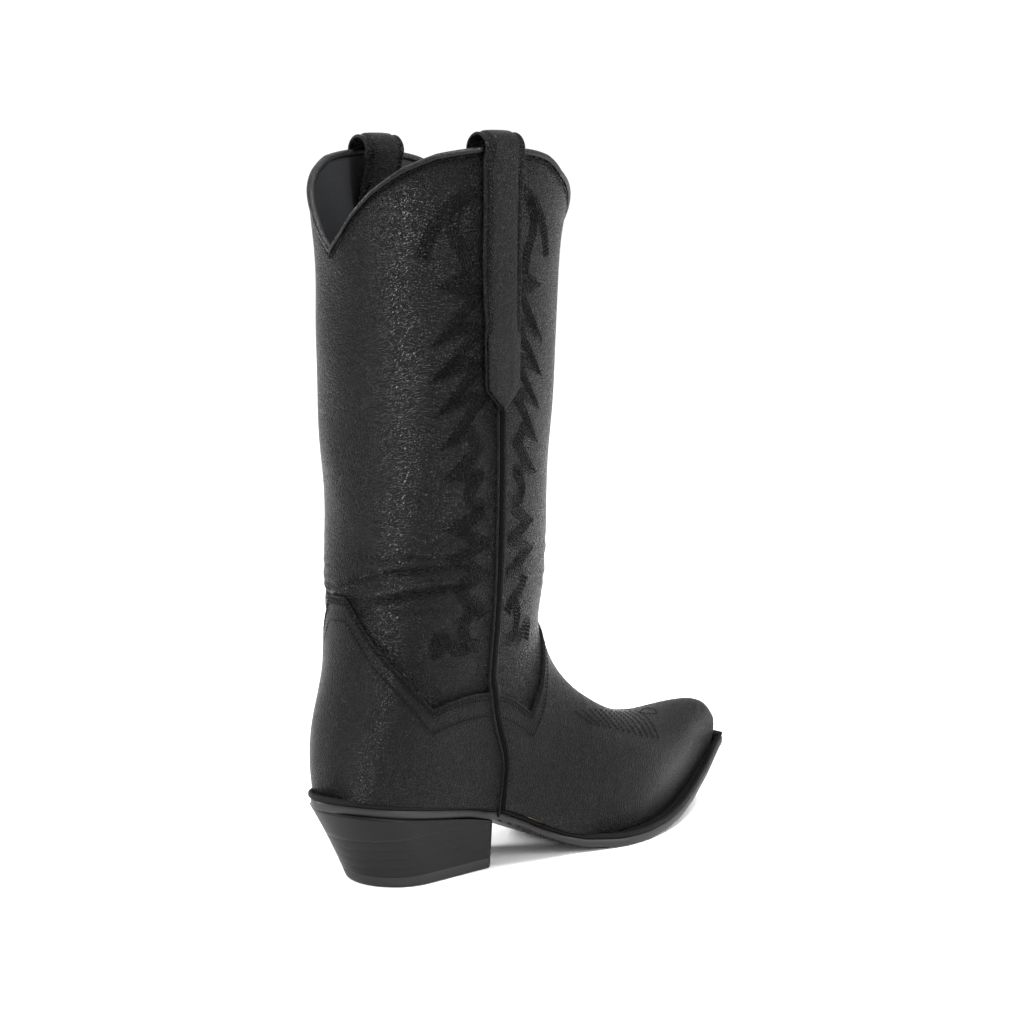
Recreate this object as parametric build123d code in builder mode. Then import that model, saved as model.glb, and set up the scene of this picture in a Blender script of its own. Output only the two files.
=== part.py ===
from build123d import *
from math import cos, pi, sin
from collections import namedtuple
import os

# A right-foot pull-on western boot, in millimetres.
# +X is the outer side, +Y points to the toe, +Z is up.
# The origin lies on the ground, under the middle of the boot's bounding box.

os.makedirs("parts", exist_ok=True)

# ---------------------------------------------------------------- driving dimensions

VAMP_LEATHER = 1.4          # vamp and heel counter cover, lapped over the shaft
SHAFT_LEATHER = 1.4         # shaft panels
LINING = 1.0                # leather lining
PIPING_STANDS = 2.2         # side piping, proud of the shaft surface
PIPING_HALF_WIDTH = 1.2
BINDING = 0.7               # how far the topline binding stands proud
BINDING_DEPTH = 3.0         # height of the binding below the topline
CLEARANCE = 0.1             # between a strip and the curved leather it lies on

OUTSOLE = 5.0
WELT = 2.8
INSOLE = 2.4
SOCK = 0.8
GROUND_TO_FEATHER = OUTSOLE + WELT

HEEL_BREAST_Y = -49.0
CAP_HEIGHT = 6.0
LIFT_HEIGHT = 5.0
LIFT_COUNT = 4
NAIL_RADIUS = 1.2
PEG_RADIUS = 1.0
NAIL_END = 1.0              # how far the nails stop below the welt

STRAP_THICKNESS = 2.4
STRAP_BACK_Y = -77.0
STRAP_FRONT_Y = -52.0
STRAP_LOOP_Z = 370.0        # centre height of the finger loop
STRAP_LOOP_X = 46.9
STRAP_LOOP_RADIUS = 9.2     # outer radius of the loop

SHANK_WIDTH = 14.0
SHANK_THICKNESS = 1.4
SHANK_BACK_Y = -96.0
SHANK_FRONT_Y = 4.0

# Nails and pegs, seen from above.
NAIL_PLACES = [(0, -102), (-15, -92), (15, -92), (-15, -72), (15, -72)]
NAIL_LENGTH = 45.0
PEG_PLACES = [
    (25.5, -43), (25.5, -36), (25.5, -29), (25.8, -22), (27.0, -15), (28.6, -8),
    (-22.0, -43), (-21.2, -36), (-20.4, -29), (-19.8, -22), (-20.2, -15), (-21.8, -8),
]

TOP = 400.0                 # everything is trimmed below this height
HALF_SPAN = 90.0            # half length of the trimming prisms, across the boot
SECTION_POINTS = 16

# Sections of the last and leg, from above the topline down, round the heel and out to the toe.
# Each runs from a front or top point (fy, fz) to a back or bottom point (by, bz).
# shift moves it sideways, nf and nb square its two ends, wide places its widest line,
# and cap says how much of a layer's thickness is taken off the toe end.
Section = namedtuple("Section", "fy fz by bz half shift nf nb wide cap")
SECTIONS = [
    Section(29.0, 400, -128.0, 400, 54.0, 0.0, 2.0, 2.0, 0.50, 0.0),
    Section(14.5, 350, -133.0, 350, 53.2, 0.0, 2.0, 2.0, 0.50, 0.0),
    Section(5.0, 300, -130.0, 300, 51.6, 0.0, 2.0, 2.0, 0.50, 0.0),
    Section(3.0, 250, -129.5, 250, 50.0, 0.0, 2.0, 2.0, 0.50, 0.0),
    Section(-1.0, 206, -128.0, 199, 47.6, 0.0, 2.0, 2.0, 0.50, 0.0),
    Section(-3.0, 173, -128.0, 152, 44.0, 0.0, 2.0, 2.0, 0.50, 0.0),
    Section(-2.0, 148, -129.5, 112, 39.5, 0.0, 2.0, 2.1, 0.50, 0.0),
    Section(4.5, 130, -136.5, 82, 37.0, 0.2, 2.1, 2.2, 0.48, 0.0),
    Section(12.5, 116, -138.0, 57, 35.0, 0.5, 2.1, 2.4, 0.46, 0.0),
    Section(17.0, 104, -131.0, 35, 34.0, 0.8, 2.1, 2.5, 0.44, 0.0),
    Section(20.0, 94, -104.0, 23, 33.8, 1.0, 2.1, 2.8, 0.42, 0.0),
    Section(28.0, 85, -67.5, 15, 33.5, 1.8, 2.1, 3.0, 0.40, 0.0),
    Section(38.5, 75, -32.0, 4, 34.6, 2.4, 2.1, 3.0, 0.40, 0.0),
    Section(53.0, 66, 5.0, -5, 37.0, 1.5, 2.1, 3.0, 0.40, 0.0),
    Section(71.5, 60.5, 37.0, -8, 37.0, -0.5, 2.1, 3.0, 0.40, 0.0),
    Section(90.5, 59, 63.0, -6, 31.8, -2.0, 2.1, 3.0, 0.40, 0.0),
    Section(108.5, 60, 85.0, -1, 24.2, -2.6, 2.1, 3.0, 0.42, 0.0),
    Section(125.5, 60, 105.0, 6, 15.6, -2.4, 2.1, 2.8, 0.44, 0.3),
    Section(136.5, 56.5, 121.0, 15, 9.6, -2.0, 2.2, 2.6, 0.46, 0.6),
    Section(142.0, 50, 131.0, 23, 6.6, -1.6, 2.3, 2.5, 0.48, 1.0),
]

# Where the side seam crosses each section, as a part of the way from its back to its front.
SEAM_SHARES = [0.40, 0.46, 0.48, 0.50, 0.516, 0.532, 0.545, 0.553, 0.555, 0.547, 0.45, 0.19]

# Stretches of the body that each loft covers, as section numbers.
SHAFT_STRETCH = [(0, 10)]
FOOT_STRETCH = [(5, 8), (8, 19)]

# Feather line: where the upper meets the welt and rand, seen from the side.
FEATHER = [
    (-154, 52.2), (-66, 37.6), (-46, 32.8), (-32, 26.8), (-18, 19.6), (-6, 14.4), (8, 10.2),
    (30, GROUND_TO_FEATHER), (52, GROUND_TO_FEATHER), (70, 8.8), (88, 11.7), (106, 16.9),
    (124, 24.3), (140, 33.0), (154, 42.4),
]

# Top edge of the heel counter cover and of the vamp, from the back to the tongue, seen from the side.
FOOT_EDGE = [
    (-160, 153), (-127.5, 150), (-122, 130), (-110, 110), (-96.5, 93), (-78, 97), (-57, 96),
    (-40, 89.5), (-27, 80.5), (-16, 92), (-8, 106), (1, 119), (5.5, 132), (60, 140),
]

# Topline, from the bottom of each V to the side seam, seen from the back and the front.
BACK_V = [
    (0, 321.5), (8.5, 330), (15, 339), (24, 349.5), (35, 360), (44, 367), (54, 371.5), (70, 372),
]
FRONT_V = [
    (0, 313), (12, 325.5), (24, 338), (36, 350), (46, 359.5), (51, 367), (55, 371.5), (70, 372),
]

# Outline of the outsole, welt and rand, seen from above.
OUTER_OUTLINE = [
    (5.5, 146), (13.8, 124), (28.8, 91), (40.6, 56), (42.5, 30), (36.5, 4),
    (30, -22), (28.5, -55), (30.5, -105), (20.5, -132.5), (0, -146),
]
INNER_OUTLINE = [
    (0, -146), (-20.5, -132.5), (-30.5, -105), (-27, -55), (-24, -20), (-30.5, 8),
    (-40, 34), (-42.8, 56), (-37.6, 80), (-27, 106), (-17, 126), (-12.8, 136.3), (-8.5, 146),
]

# Inner edge of the welt and rand, seen from above.
OUTER_CORE = [
    (2.5, 118), (11.6, 105), (19.5, 91), (31.4, 56), (33.3, 30), (27.3, 4),
    (21, -22), (19.5, -55), (21.5, -105), (14, -125), (0, -137),
]
INNER_CORE = [
    (0, -137), (-14, -125), (-21.5, -105), (-18, -55), (-15, -20), (-21.5, 8),
    (-31, 34), (-33.6, 56), (-28.6, 80), (-16, 108), (-7, 118),
]


# ---------------------------------------------------------------- shared geometry

def section_plane(section, offset):
    """Plane of one section grown by offset, and its length from back to front."""
    span = Vector(0, section.fy - section.by, section.fz - section.bz)
    along = span.normalized()
    normal = Vector(1, 0, 0).cross(along)
    back = Vector(section.shift, section.by, section.bz)
    back = back - along * offset - normal * (offset * section.cap)
    return Plane(origin=back, x_dir=(1, 0, 0), z_dir=normal), span.length + 2 * offset


def section_point(section, offset, length, angle):
    """Point of the section's outline, in its plane, at an angle from its front end."""
    power = section.nf if cos(angle) > 0 else section.nb
    forward = abs(cos(angle)) ** (2 / power)
    sideways = abs(sin(angle)) ** (2 / power)
    reach = section.wide + (1 - section.wide) * forward
    if cos(angle) < 0:
        reach = section.wide * (1 - forward)
    side = 1 if sin(angle) > 0 else -1
    return (side * (section.half + offset) * sideways, reach * length)


def make_body(stretches, offset):
    """Solid of the last and leg, grown by offset all round, over the given stretches."""
    angles = [2 * pi * step / SECTION_POINTS for step in range(SECTION_POINTS)]
    with BuildPart() as body:
        for first, last in stretches:
            for section in SECTIONS[first:last + 1]:
                plane, length = section_plane(section, offset)
                with BuildSketch(plane):
                    with BuildLine():
                        Spline(*[section_point(section, offset, length, a) for a in angles], periodic=True)
                    make_face()
            loft(ruled=True)
    return body.part


def make_layer(stretches, outer, inner):
    """Sheet of leather or lining between two offsets from the shaft surface."""
    with BuildPart() as layer:
        add(make_body(stretches, outer))
        add(make_body(stretches, inner), mode=Mode.SUBTRACT)
    return layer.part


def make_prism(points, plane=Plane.YZ, reach=HALF_SPAN, both=True):
    """Prism of a closed outline."""
    with BuildPart() as prism:
        with BuildSketch(plane):
            with BuildLine():
                Polyline(*points, close=True)
            make_face()
        extrude(amount=reach, both=both)
    return prism.part


def slab(low, high):
    """Everything between the feather line raised by low and raised by high."""
    lower = [(y, z + low) for y, z in FEATHER]
    upper = [(y, z + high) for y, z in reversed(FEATHER)]
    return make_prism(lower + upper)


def seam_point(place):
    """Side view of the side seam at a place counted in sections."""
    index = min(int(place), len(SEAM_SHARES) - 2)
    ends = []
    for number in (index, index + 1):
        section, share = SECTIONS[number], SEAM_SHARES[number]
        y = section.by + share * (section.fy - section.by)
        z = section.bz + share * (section.fz - section.bz)
        ends.append(Vector(y, z))
    return ends[0] + (ends[1] - ends[0]) * (place - index)


def seam_side(shift, far_y):
    """Prism on one side of the side seam, which is moved along the boot by shift."""
    seam = [seam_point(number) for number in range(len(SEAM_SHARES))]
    line = [(point.X + shift, point.Y) for point in seam]
    bottom = (line[-1][0], -60)
    return make_prism([*line, bottom, (far_y, -60), (far_y, TOP)])


def skin_point(place, share, offset, side=1):
    """Point on the ruled skin, share of the way from back to front, grown by offset."""
    index = min(int(place), len(SECTIONS) - 2)
    ends = []
    for section in (SECTIONS[index], SECTIONS[index + 1]):
        plane, length = section_plane(section, offset)
        edge = section.wide
        power = section.nf if share > edge else section.nb
        room = 1 - edge if share > edge else edge
        reach = abs(share - edge) / room
        sideways = (1 - reach ** power) ** (1 / power)
        ends.append(plane.from_local_coords(Vector((section.half + offset) * sideways, share * length)))
    point = ends[0] + (ends[1] - ends[0]) * (place - index)
    return Vector(side * point.X, point.Y, point.Z)


def make_strip(places, widths, low, high, side=1):
    """Strip lofted along the side seam, from one offset to another, with a half width at each place."""
    with BuildPart() as strip:
        for place, half_width in zip(places, widths):
            index = min(int(place), len(SEAM_SHARES) - 2)
            t = place - index
            share = SEAM_SHARES[index] * (1 - t) + SEAM_SHARES[index + 1] * t
            depth = SECTIONS[index].fy - SECTIONS[index].by
            shares = [share + half_width / depth * step / 2 for step in range(-2, 3)]
            outer = [skin_point(place, value, high, side) for value in shares]
            inner = [skin_point(place, value, low, side) for value in reversed(shares)]
            across = outer[3] - outer[2]
            plane = Plane(origin=outer[2], x_dir=across, z_dir=across.cross(inner[2] - outer[2]))
            flat = [plane.to_local_coords(point) for point in outer + inner]
            with BuildSketch(plane):
                with BuildLine():
                    Polyline(*[(point.X, point.Y) for point in flat], close=True)
                make_face()
        loft(ruled=True)
    return strip.part


def topline_zone(low, high):
    """Zone between two heights above the topline, over the back half and the front half."""
    with BuildPart() as zone:
        for profile, reach in ((BACK_V, 120), (FRONT_V, -120)):
            lower = [(x, z + low) for x, z in profile]
            upper = [(x, z + high) for x, z in profile]
            lower_row = [(-x, z) for x, z in reversed(lower)] + lower[1:]
            upper_row = [(-x, z) for x, z in reversed(upper)] + upper[1:]
            outline = lower_row + list(reversed(upper_row))
            add(make_prism(outline, Plane.XZ.offset(65), reach, False))
    return zone.part


def arc_chain(points):
    """Arcs through the points, two spans to an arc."""
    for start, middle, end in zip(points[::2], points[1::2], points[2::2]):
        ThreePointArc(start, middle, end)


def outline_column(outer, inner):
    """Upright column inside an outline given as its outer and inner sides."""
    with BuildPart() as column:
        with BuildSketch(Plane.XY.offset(-20)):
            with BuildLine():
                arc_chain(outer)
                arc_chain(inner)
                Line(inner[-1], outer[0])
            make_face()
        extrude(amount=120)
    return column.part


def make_box(x, y, z):
    """Block between pairs of limits along each axis."""
    with BuildPart() as block:
        with Locations(((x[0] + x[1]) / 2, (y[0] + y[1]) / 2, (z[0] + z[1]) / 2)):
            Box(x[1] - x[0], y[1] - y[0], z[1] - z[0])
    return block.part


def finish(piece, name):
    """Label one piece and write it."""
    piece.label = name
    export_step(piece, "parts/" + name + ".step")
    print(name, round(piece.volume), len(piece.solids()), flush=True)


FRONT_OF_SEAM = seam_side(0, 180)
BACK_OF_SEAM = seam_side(0, -180)
FOOT = make_prism([*FOOT_EDGE, (160, 140), (160, -40), (-160, -40)])
ABOVE_FEATHER = slab(0, TOP)
TRIMMED_TOP = topline_zone(-BINDING_DEPTH, 120)
BINDING_ZONE = topline_zone(-BINDING_DEPTH, BINDING)

INSIDE_SHAFT = -SHAFT_LEATHER
INSIDE_LINING = -SHAFT_LEATHER - LINING

# ---------------------------------------------------------------- shaft

SHAFT_SHEETS = {
    "panel": make_layer(SHAFT_STRETCH, 0, INSIDE_SHAFT),
    "lining": make_layer(SHAFT_STRETCH, INSIDE_SHAFT, INSIDE_LINING),
}

for sheet_name, sheet in SHAFT_SHEETS.items():
    for half_name, half in (("front", FRONT_OF_SEAM), ("back", BACK_OF_SEAM)):
        with BuildPart() as shaft_piece:
            add(sheet)
            add(half, mode=Mode.INTERSECT)
            add(FOOT, mode=Mode.SUBTRACT)
            add(TRIMMED_TOP, mode=Mode.SUBTRACT)
        finish(shaft_piece.part, "shaft_" + half_name + "_" + sheet_name)

# The binding is a bead that caps the raw top edges of panel and lining.
BINDING_SHEET = make_layer(SHAFT_STRETCH, BINDING, INSIDE_LINING - BINDING)

for half_name, half in (("front", FRONT_OF_SEAM), ("back", BACK_OF_SEAM)):
    with BuildPart() as topline_binding:
        add(BINDING_SHEET)
        add(half, mode=Mode.INTERSECT)
        add(BINDING_ZONE, mode=Mode.INTERSECT)
    finish(topline_binding.part, half_name + "_topline_binding")

# ---------------------------------------------------------------- foot

PIPING_GAP = PIPING_HALF_WIDTH + CLEARANCE
FOOT_SHEETS = {
    "cover": make_layer(FOOT_STRETCH, VAMP_LEATHER, 0),
    "stiffening": make_layer(FOOT_STRETCH, 0, INSIDE_SHAFT),
    "lining": make_layer(FOOT_STRETCH, INSIDE_SHAFT, INSIDE_LINING),
}
LOWER_FOOT = FOOT & ABOVE_FEATHER
COUNTER_FRONT_Y = -60.0
TOE_BOX_BACK_Y = 88.0
WHOLE_WIDTH = (-HALF_SPAN, HALF_SPAN)
WHOLE_HEIGHT = (-20, TOP)

# Name, sheet and zone of every sheet that makes the foot of the upper.
FOOT_PIECES = [
    ("vamp", "cover", seam_side(PIPING_GAP, 180)),
    ("heel_counter_cover", "cover", seam_side(-PIPING_GAP, -180)),
    ("counter_stiffener", "stiffening", make_box(WHOLE_WIDTH, (-160, COUNTER_FRONT_Y), WHOLE_HEIGHT)),
    (
        "vamp_interlining", "stiffening",
        make_box(WHOLE_WIDTH, (COUNTER_FRONT_Y, TOE_BOX_BACK_Y), WHOLE_HEIGHT),
    ),
    ("toe_box", "stiffening", make_box(WHOLE_WIDTH, (TOE_BOX_BACK_Y, 160), WHOLE_HEIGHT)),
    ("vamp_lining", "lining", FRONT_OF_SEAM),
    ("heel_lining", "lining", BACK_OF_SEAM),
]

for piece_name, sheet_name, zone in FOOT_PIECES:
    with BuildPart() as foot_piece:
        add(FOOT_SHEETS[sheet_name])
        add(LOWER_FOOT, mode=Mode.INTERSECT)
        add(zone, mode=Mode.INTERSECT)
    finish(foot_piece.part, piece_name)

# ---------------------------------------------------------------- side piping and pull straps

# Places along the side seam, counted in sections.
PIPING_TOP = 3.3
PIPING_END = 10.7
PIPING_STEPS = 36
piping_places = [
    PIPING_TOP + (PIPING_END - PIPING_TOP) * step / PIPING_STEPS for step in range(PIPING_STEPS + 1)
]
piping_widths = [PIPING_HALF_WIDTH] * len(piping_places)

STRAP_PLACES = [0.62, 0.8, 1.0, 1.25, 1.5, 1.75, 2.0, 2.4, 2.95, 3.17]
STRAP_HALF_WIDTHS = [12.5, 12.5, 12.4, 12.3, 12.2, 12.1, 12.0, 11.7, 11.3, 1.5]
TAB_PLACES = [1.0, 1.15, 1.3, 1.5]
TAB_HALF_WIDTHS = [12.5, 12.5, 12.5, 12.5]
TAB_GAP = 0.3               # between the tab and the lining
TAB_FACE = INSIDE_LINING - TAB_GAP
STRAP_FACE = BINDING + CLEARANCE    # inner face of the outer leg, which lies over the binding
TAIL_BOTTOM_Z = 341.0
TAIL_X = (46.4, 48.8)       # both faces of the tail at its lower end
LEG_BOTTOM_Z = 364.0
LEG_SPREAD = 1.0            # the outer leg thins towards its lower end
SEAM_Y = (STRAP_BACK_Y + STRAP_FRONT_Y) / 2
LOOP_INNER = STRAP_LOOP_RADIUS - STRAP_THICKNESS


def make_loop(side):
    """Finger loop of a pull strap: an arch above the topline and a tail that leans back to the lining."""
    outer_x = side * (STRAP_LOOP_X + STRAP_LOOP_RADIUS)
    outer_face = side * (STRAP_LOOP_X + LOOP_INNER)
    inner_face = side * (STRAP_LOOP_X - LOOP_INNER)
    inner_x = side * (STRAP_LOOP_X - STRAP_LOOP_RADIUS)
    middle_x = side * STRAP_LOOP_X
    tail_in, tail_out = side * TAIL_X[0], side * TAIL_X[1]
    leg_x = outer_face + side * LEG_SPREAD
    crown_z = STRAP_LOOP_Z + STRAP_LOOP_RADIUS
    with BuildPart() as loop:
        with BuildSketch(Plane.XZ.offset(-SEAM_Y)):
            with BuildLine():
                ThreePointArc((outer_x, STRAP_LOOP_Z), (middle_x, crown_z), (inner_x, STRAP_LOOP_Z))
                Polyline(
                    (inner_x, STRAP_LOOP_Z), (tail_in, TAIL_BOTTOM_Z), (tail_out, TAIL_BOTTOM_Z),
                    (inner_face, STRAP_LOOP_Z),
                )
                ThreePointArc(
                    (inner_face, STRAP_LOOP_Z), (middle_x, STRAP_LOOP_Z + LOOP_INNER),
                    (outer_face, STRAP_LOOP_Z),
                )
                Polyline(
                    (outer_face, STRAP_LOOP_Z), (leg_x, LEG_BOTTOM_Z), (outer_x, LEG_BOTTOM_Z),
                    (outer_x, STRAP_LOOP_Z),
                )
            make_face()
        extrude(amount=(STRAP_FRONT_Y - STRAP_BACK_Y) / 2, both=True)
    return loop.part


for side_name, side in (("outer", 1), ("inner", -1)):
    with BuildPart() as side_piping:
        add(make_strip(piping_places, piping_widths, CLEARANCE, PIPING_STANDS, side))
        add(ABOVE_FEATHER, mode=Mode.INTERSECT)
    finish(side_piping.part, side_name + "_side_piping")
    with BuildPart() as pull_strap:
        add(make_strip(STRAP_PLACES, STRAP_HALF_WIDTHS, STRAP_FACE, STRAP_FACE + STRAP_THICKNESS, side))
        add(make_loop(side))
        add(make_strip(TAB_PLACES, TAB_HALF_WIDTHS, TAB_FACE - STRAP_THICKNESS, TAB_FACE, side))
    finish(pull_strap.part, side_name + "_pull_strap")

# ---------------------------------------------------------------- heel

HEEL_BOTTOM_BACK = -118.0
HEEL_TOP_BACK = -145.8
HEEL_LOFT_TOP = 50.0
BREAST_HALF = (25.0, 29.0)      # half width at the breast, on the ground and at the loft top
ROUND_HALF = (26.2, 30.4)       # half width of the round back, likewise
BACK_SWEEP = 0.2                # how much of the backward lean is a curve


def heel_outline(height):
    """Half width at the breast, half width of the round back and its rearmost place, at a height."""
    rise = height / HEEL_LOFT_TOP
    lean = (1 - BACK_SWEEP) * rise + BACK_SWEEP * rise ** 2
    back = HEEL_BOTTOM_BACK + (HEEL_TOP_BACK - HEEL_BOTTOM_BACK) * lean
    breast = BREAST_HALF[0] + (BREAST_HALF[1] - BREAST_HALF[0]) * rise
    half = ROUND_HALF[0] + (ROUND_HALF[1] - ROUND_HALF[0]) * rise
    return breast, half, back


def make_heel_slice(bottom, top):
    """Slice of the underslung heel between two heights."""
    with BuildPart() as heel_slice:
        for height in (bottom, top):
            breast, half, back = heel_outline(height)
            middle = back + half
            with BuildSketch(Plane.XY.offset(height)):
                with BuildLine():
                    Polyline((-half, middle), (-breast, HEEL_BREAST_Y), (breast, HEEL_BREAST_Y), (half, middle))
                    ThreePointArc((half, middle), (0, back), (-half, middle))
                make_face()
        loft(ruled=True)
    return heel_slice.part


SOLE_COLUMN = outline_column(OUTER_OUTLINE, INNER_OUTLINE)
SOLE_CORE = outline_column(OUTER_CORE, INNER_CORE)
OUTSOLE_SLAB = slab(-GROUND_TO_FEATHER, -WELT)
WELT_SLAB = slab(-WELT, 0)
BREAST_CLEAR = HEEL_BREAST_Y + 2    # the welt stops and the heel rand begins here

with BuildPart() as heel_nails:
    with Locations(*[(x, y, CAP_HEIGHT) for x, y in NAIL_PLACES]):
        Cylinder(NAIL_RADIUS, NAIL_LENGTH, align=(Align.CENTER, Align.CENTER, Align.MIN))
    add(slab(-WELT - NAIL_END, TOP), mode=Mode.SUBTRACT)

with BuildPart() as wooden_pegs:
    with Locations(*[(x, y, 0) for x, y in PEG_PLACES]):
        Cylinder(PEG_RADIUS, HEEL_LOFT_TOP, align=(Align.CENTER, Align.CENTER, Align.MIN))
    add(slab(-GROUND_TO_FEATHER, 0), mode=Mode.INTERSECT)

heel_levels = [0, CAP_HEIGHT] + [CAP_HEIGHT + LIFT_HEIGHT * count for count in range(1, LIFT_COUNT + 1)]
heel_names = ["heel_cap"] + ["heel_lift_" + str(count) for count in range(1, LIFT_COUNT + 1)]

for piece_name, bottom, top in zip(heel_names, heel_levels, heel_levels[1:]):
    with BuildPart() as heel_piece:
        add(make_heel_slice(bottom, top))
        add(heel_nails.part, mode=Mode.SUBTRACT)
    finish(heel_piece.part, piece_name)

with BuildPart() as heel_seat_wedge:
    add(make_heel_slice(heel_levels[-1], HEEL_LOFT_TOP))
    add(slab(-GROUND_TO_FEATHER, TOP), mode=Mode.SUBTRACT)
    add(heel_nails.part, mode=Mode.SUBTRACT)
finish(heel_seat_wedge.part, "heel_seat_wedge")
finish(heel_nails.part, "heel_nails")
finish(wooden_pegs.part, "wooden_pegs")

# ---------------------------------------------------------------- sole

with BuildPart() as outsole:
    add(SOLE_COLUMN)
    add(OUTSOLE_SLAB, mode=Mode.INTERSECT)
    add(heel_nails.part, mode=Mode.SUBTRACT)
    add(wooden_pegs.part, mode=Mode.SUBTRACT)
finish(outsole.part, "outsole")

with BuildPart() as welt:
    add(SOLE_COLUMN)
    add(SOLE_CORE, mode=Mode.SUBTRACT)
    add(WELT_SLAB, mode=Mode.INTERSECT)
    add(make_box(WHOLE_WIDTH, (BREAST_CLEAR, 200), WHOLE_HEIGHT), mode=Mode.INTERSECT)
    add(wooden_pegs.part, mode=Mode.SUBTRACT)
finish(welt.part, "welt")

with BuildPart() as heel_rand:
    add(SOLE_COLUMN)
    add(SOLE_CORE, mode=Mode.SUBTRACT)
    add(WELT_SLAB, mode=Mode.INTERSECT)
    add(make_box(WHOLE_WIDTH, (-200, BREAST_CLEAR), WHOLE_HEIGHT), mode=Mode.INTERSECT)
finish(heel_rand.part, "heel_rand")

with BuildPart() as steel_shank:
    add(make_box((-SHANK_WIDTH / 2, SHANK_WIDTH / 2), (SHANK_BACK_Y, SHANK_FRONT_Y), WHOLE_HEIGHT))
    add(slab(-SHANK_THICKNESS, 0), mode=Mode.INTERSECT)
finish(steel_shank.part, "steel_shank")

with BuildPart() as cork_filler:
    add(SOLE_CORE)
    add(WELT_SLAB, mode=Mode.INTERSECT)
    add(steel_shank.part, mode=Mode.SUBTRACT)
finish(cork_filler.part, "cork_filler")

CAVITY = make_body(FOOT_STRETCH, INSIDE_LINING)

with BuildPart() as insole_board:
    add(CAVITY)
    add(slab(0, INSOLE), mode=Mode.INTERSECT)
finish(insole_board.part, "insole_board")

with BuildPart() as sock_lining:
    add(CAVITY)
    add(slab(INSOLE, INSOLE + SOCK), mode=Mode.INTERSECT)
finish(sock_lining.part, "sock_lining")
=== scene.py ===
import math

import bpy
import numpy as np
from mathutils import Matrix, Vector
from mathutils.kdtree import KDTree


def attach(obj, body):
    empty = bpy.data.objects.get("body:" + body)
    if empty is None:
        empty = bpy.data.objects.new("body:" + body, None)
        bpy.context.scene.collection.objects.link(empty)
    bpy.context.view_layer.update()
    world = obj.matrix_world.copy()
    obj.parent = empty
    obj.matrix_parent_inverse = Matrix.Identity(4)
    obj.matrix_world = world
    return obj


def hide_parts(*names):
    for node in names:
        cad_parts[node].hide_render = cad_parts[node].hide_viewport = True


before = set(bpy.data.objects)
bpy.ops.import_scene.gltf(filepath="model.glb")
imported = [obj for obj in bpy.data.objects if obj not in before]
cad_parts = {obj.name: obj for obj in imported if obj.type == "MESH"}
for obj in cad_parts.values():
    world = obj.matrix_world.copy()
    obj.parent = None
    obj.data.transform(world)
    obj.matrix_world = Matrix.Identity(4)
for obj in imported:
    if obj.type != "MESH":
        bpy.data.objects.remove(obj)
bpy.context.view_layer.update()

# Sizes in millimetres; meshes are scaled to metres when they are made.
MM = 0.001
PI = math.pi

COVER = 1.4             # vamp and counter leather, lapped over the shaft
LEATHER = 1.4           # shaft leather
LINING = 1.0
INSIDE_LEATHER = -LEATHER
INSIDE_LINING = -LEATHER - LINING
SEAM_GAP = 1.5          # between the seam and the cover leather on both sides
SEAM_END = 10.95        # section place where the side seam runs into the feather line
COVER_SEAM_END = 10.9
SOLE_DEPTH = 7.8        # ground to feather line
HEEL_BREAST_Y = -49.0
HEEL_LEVELS = [0, 6, 11, 16, 21, 26]

# Sections of the last: front or top point (y, z), back or bottom point (y, z), half width,
# sideways shift, squareness at both ends, place of the widest line, toe cap share.
SECTIONS = np.array([
    (29.0, 400, -128.0, 400, 54.0, 0.0, 2.0, 2.0, 0.50, 0.0),
    (14.5, 350, -133.0, 350, 53.2, 0.0, 2.0, 2.0, 0.50, 0.0),
    (5.0, 300, -130.0, 300, 51.6, 0.0, 2.0, 2.0, 0.50, 0.0),
    (3.0, 250, -129.5, 250, 50.0, 0.0, 2.0, 2.0, 0.50, 0.0),
    (0.5, 206, -128.0, 199, 47.6, 0.0, 2.0, 2.0, 0.50, 0.0),
    (0.0, 173, -128.0, 152, 44.0, 0.0, 2.0, 2.0, 0.50, 0.0),
    (0.5, 148, -129.5, 112, 39.5, 0.0, 2.0, 2.1, 0.50, 0.0),
    (-2.0, 129, -136.5, 82, 37.0, 0.2, 2.1, 2.2, 0.48, 0.0),
    (2.0, 114, -138.0, 57, 35.0, 0.5, 2.1, 2.4, 0.46, 0.0),
    (8.5, 101, -131.0, 35, 34.0, 0.8, 2.1, 2.5, 0.44, 0.0),
    (16.0, 91, -104.0, 23, 33.8, 1.0, 2.1, 2.8, 0.42, 0.0),
    (25.5, 82, -67.5, 15, 33.5, 1.8, 2.1, 3.0, 0.40, 0.0),
    (37.5, 74, -32.0, 4, 34.6, 2.4, 2.1, 3.0, 0.40, 0.0),
    (53.0, 66, 5.0, -5, 37.0, 1.5, 2.1, 3.0, 0.40, 0.0),
    (71.5, 60.5, 37.0, -8, 37.0, -0.5, 2.1, 3.0, 0.40, 0.0),
    (90.5, 59, 63.0, -6, 31.8, -2.0, 2.1, 3.0, 0.40, 0.0),
    (108.5, 60, 85.0, -1, 24.2, -2.6, 2.1, 3.0, 0.42, 0.0),
    (125.5, 60, 105.0, 6, 15.6, -2.4, 2.1, 2.8, 0.44, 0.3),
    (136.5, 56.5, 121.0, 15, 9.6, -2.0, 2.2, 2.6, 0.46, 0.6),
    (142.0, 50, 131.0, 23, 6.6, -1.6, 2.3, 2.5, 0.48, 1.0),
])
LAST = len(SECTIONS) - 1
TOE_CENTRE = np.array([-1.6, 134.0, 30.0])
TOE_FORWARD = np.array([0.0, 0.926, -0.377])
TOE_ROUNDING = 0.6
TOE_SNIP = 2.5          # the toe is this much shorter than the sections say
TOE_SNIP_START, TOE_TIP_Y = 100, 146
TIP_LIFT = 3.0          # the sole's tip curls up a little beyond the feather line
TIP_LIFT_START = 126

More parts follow.
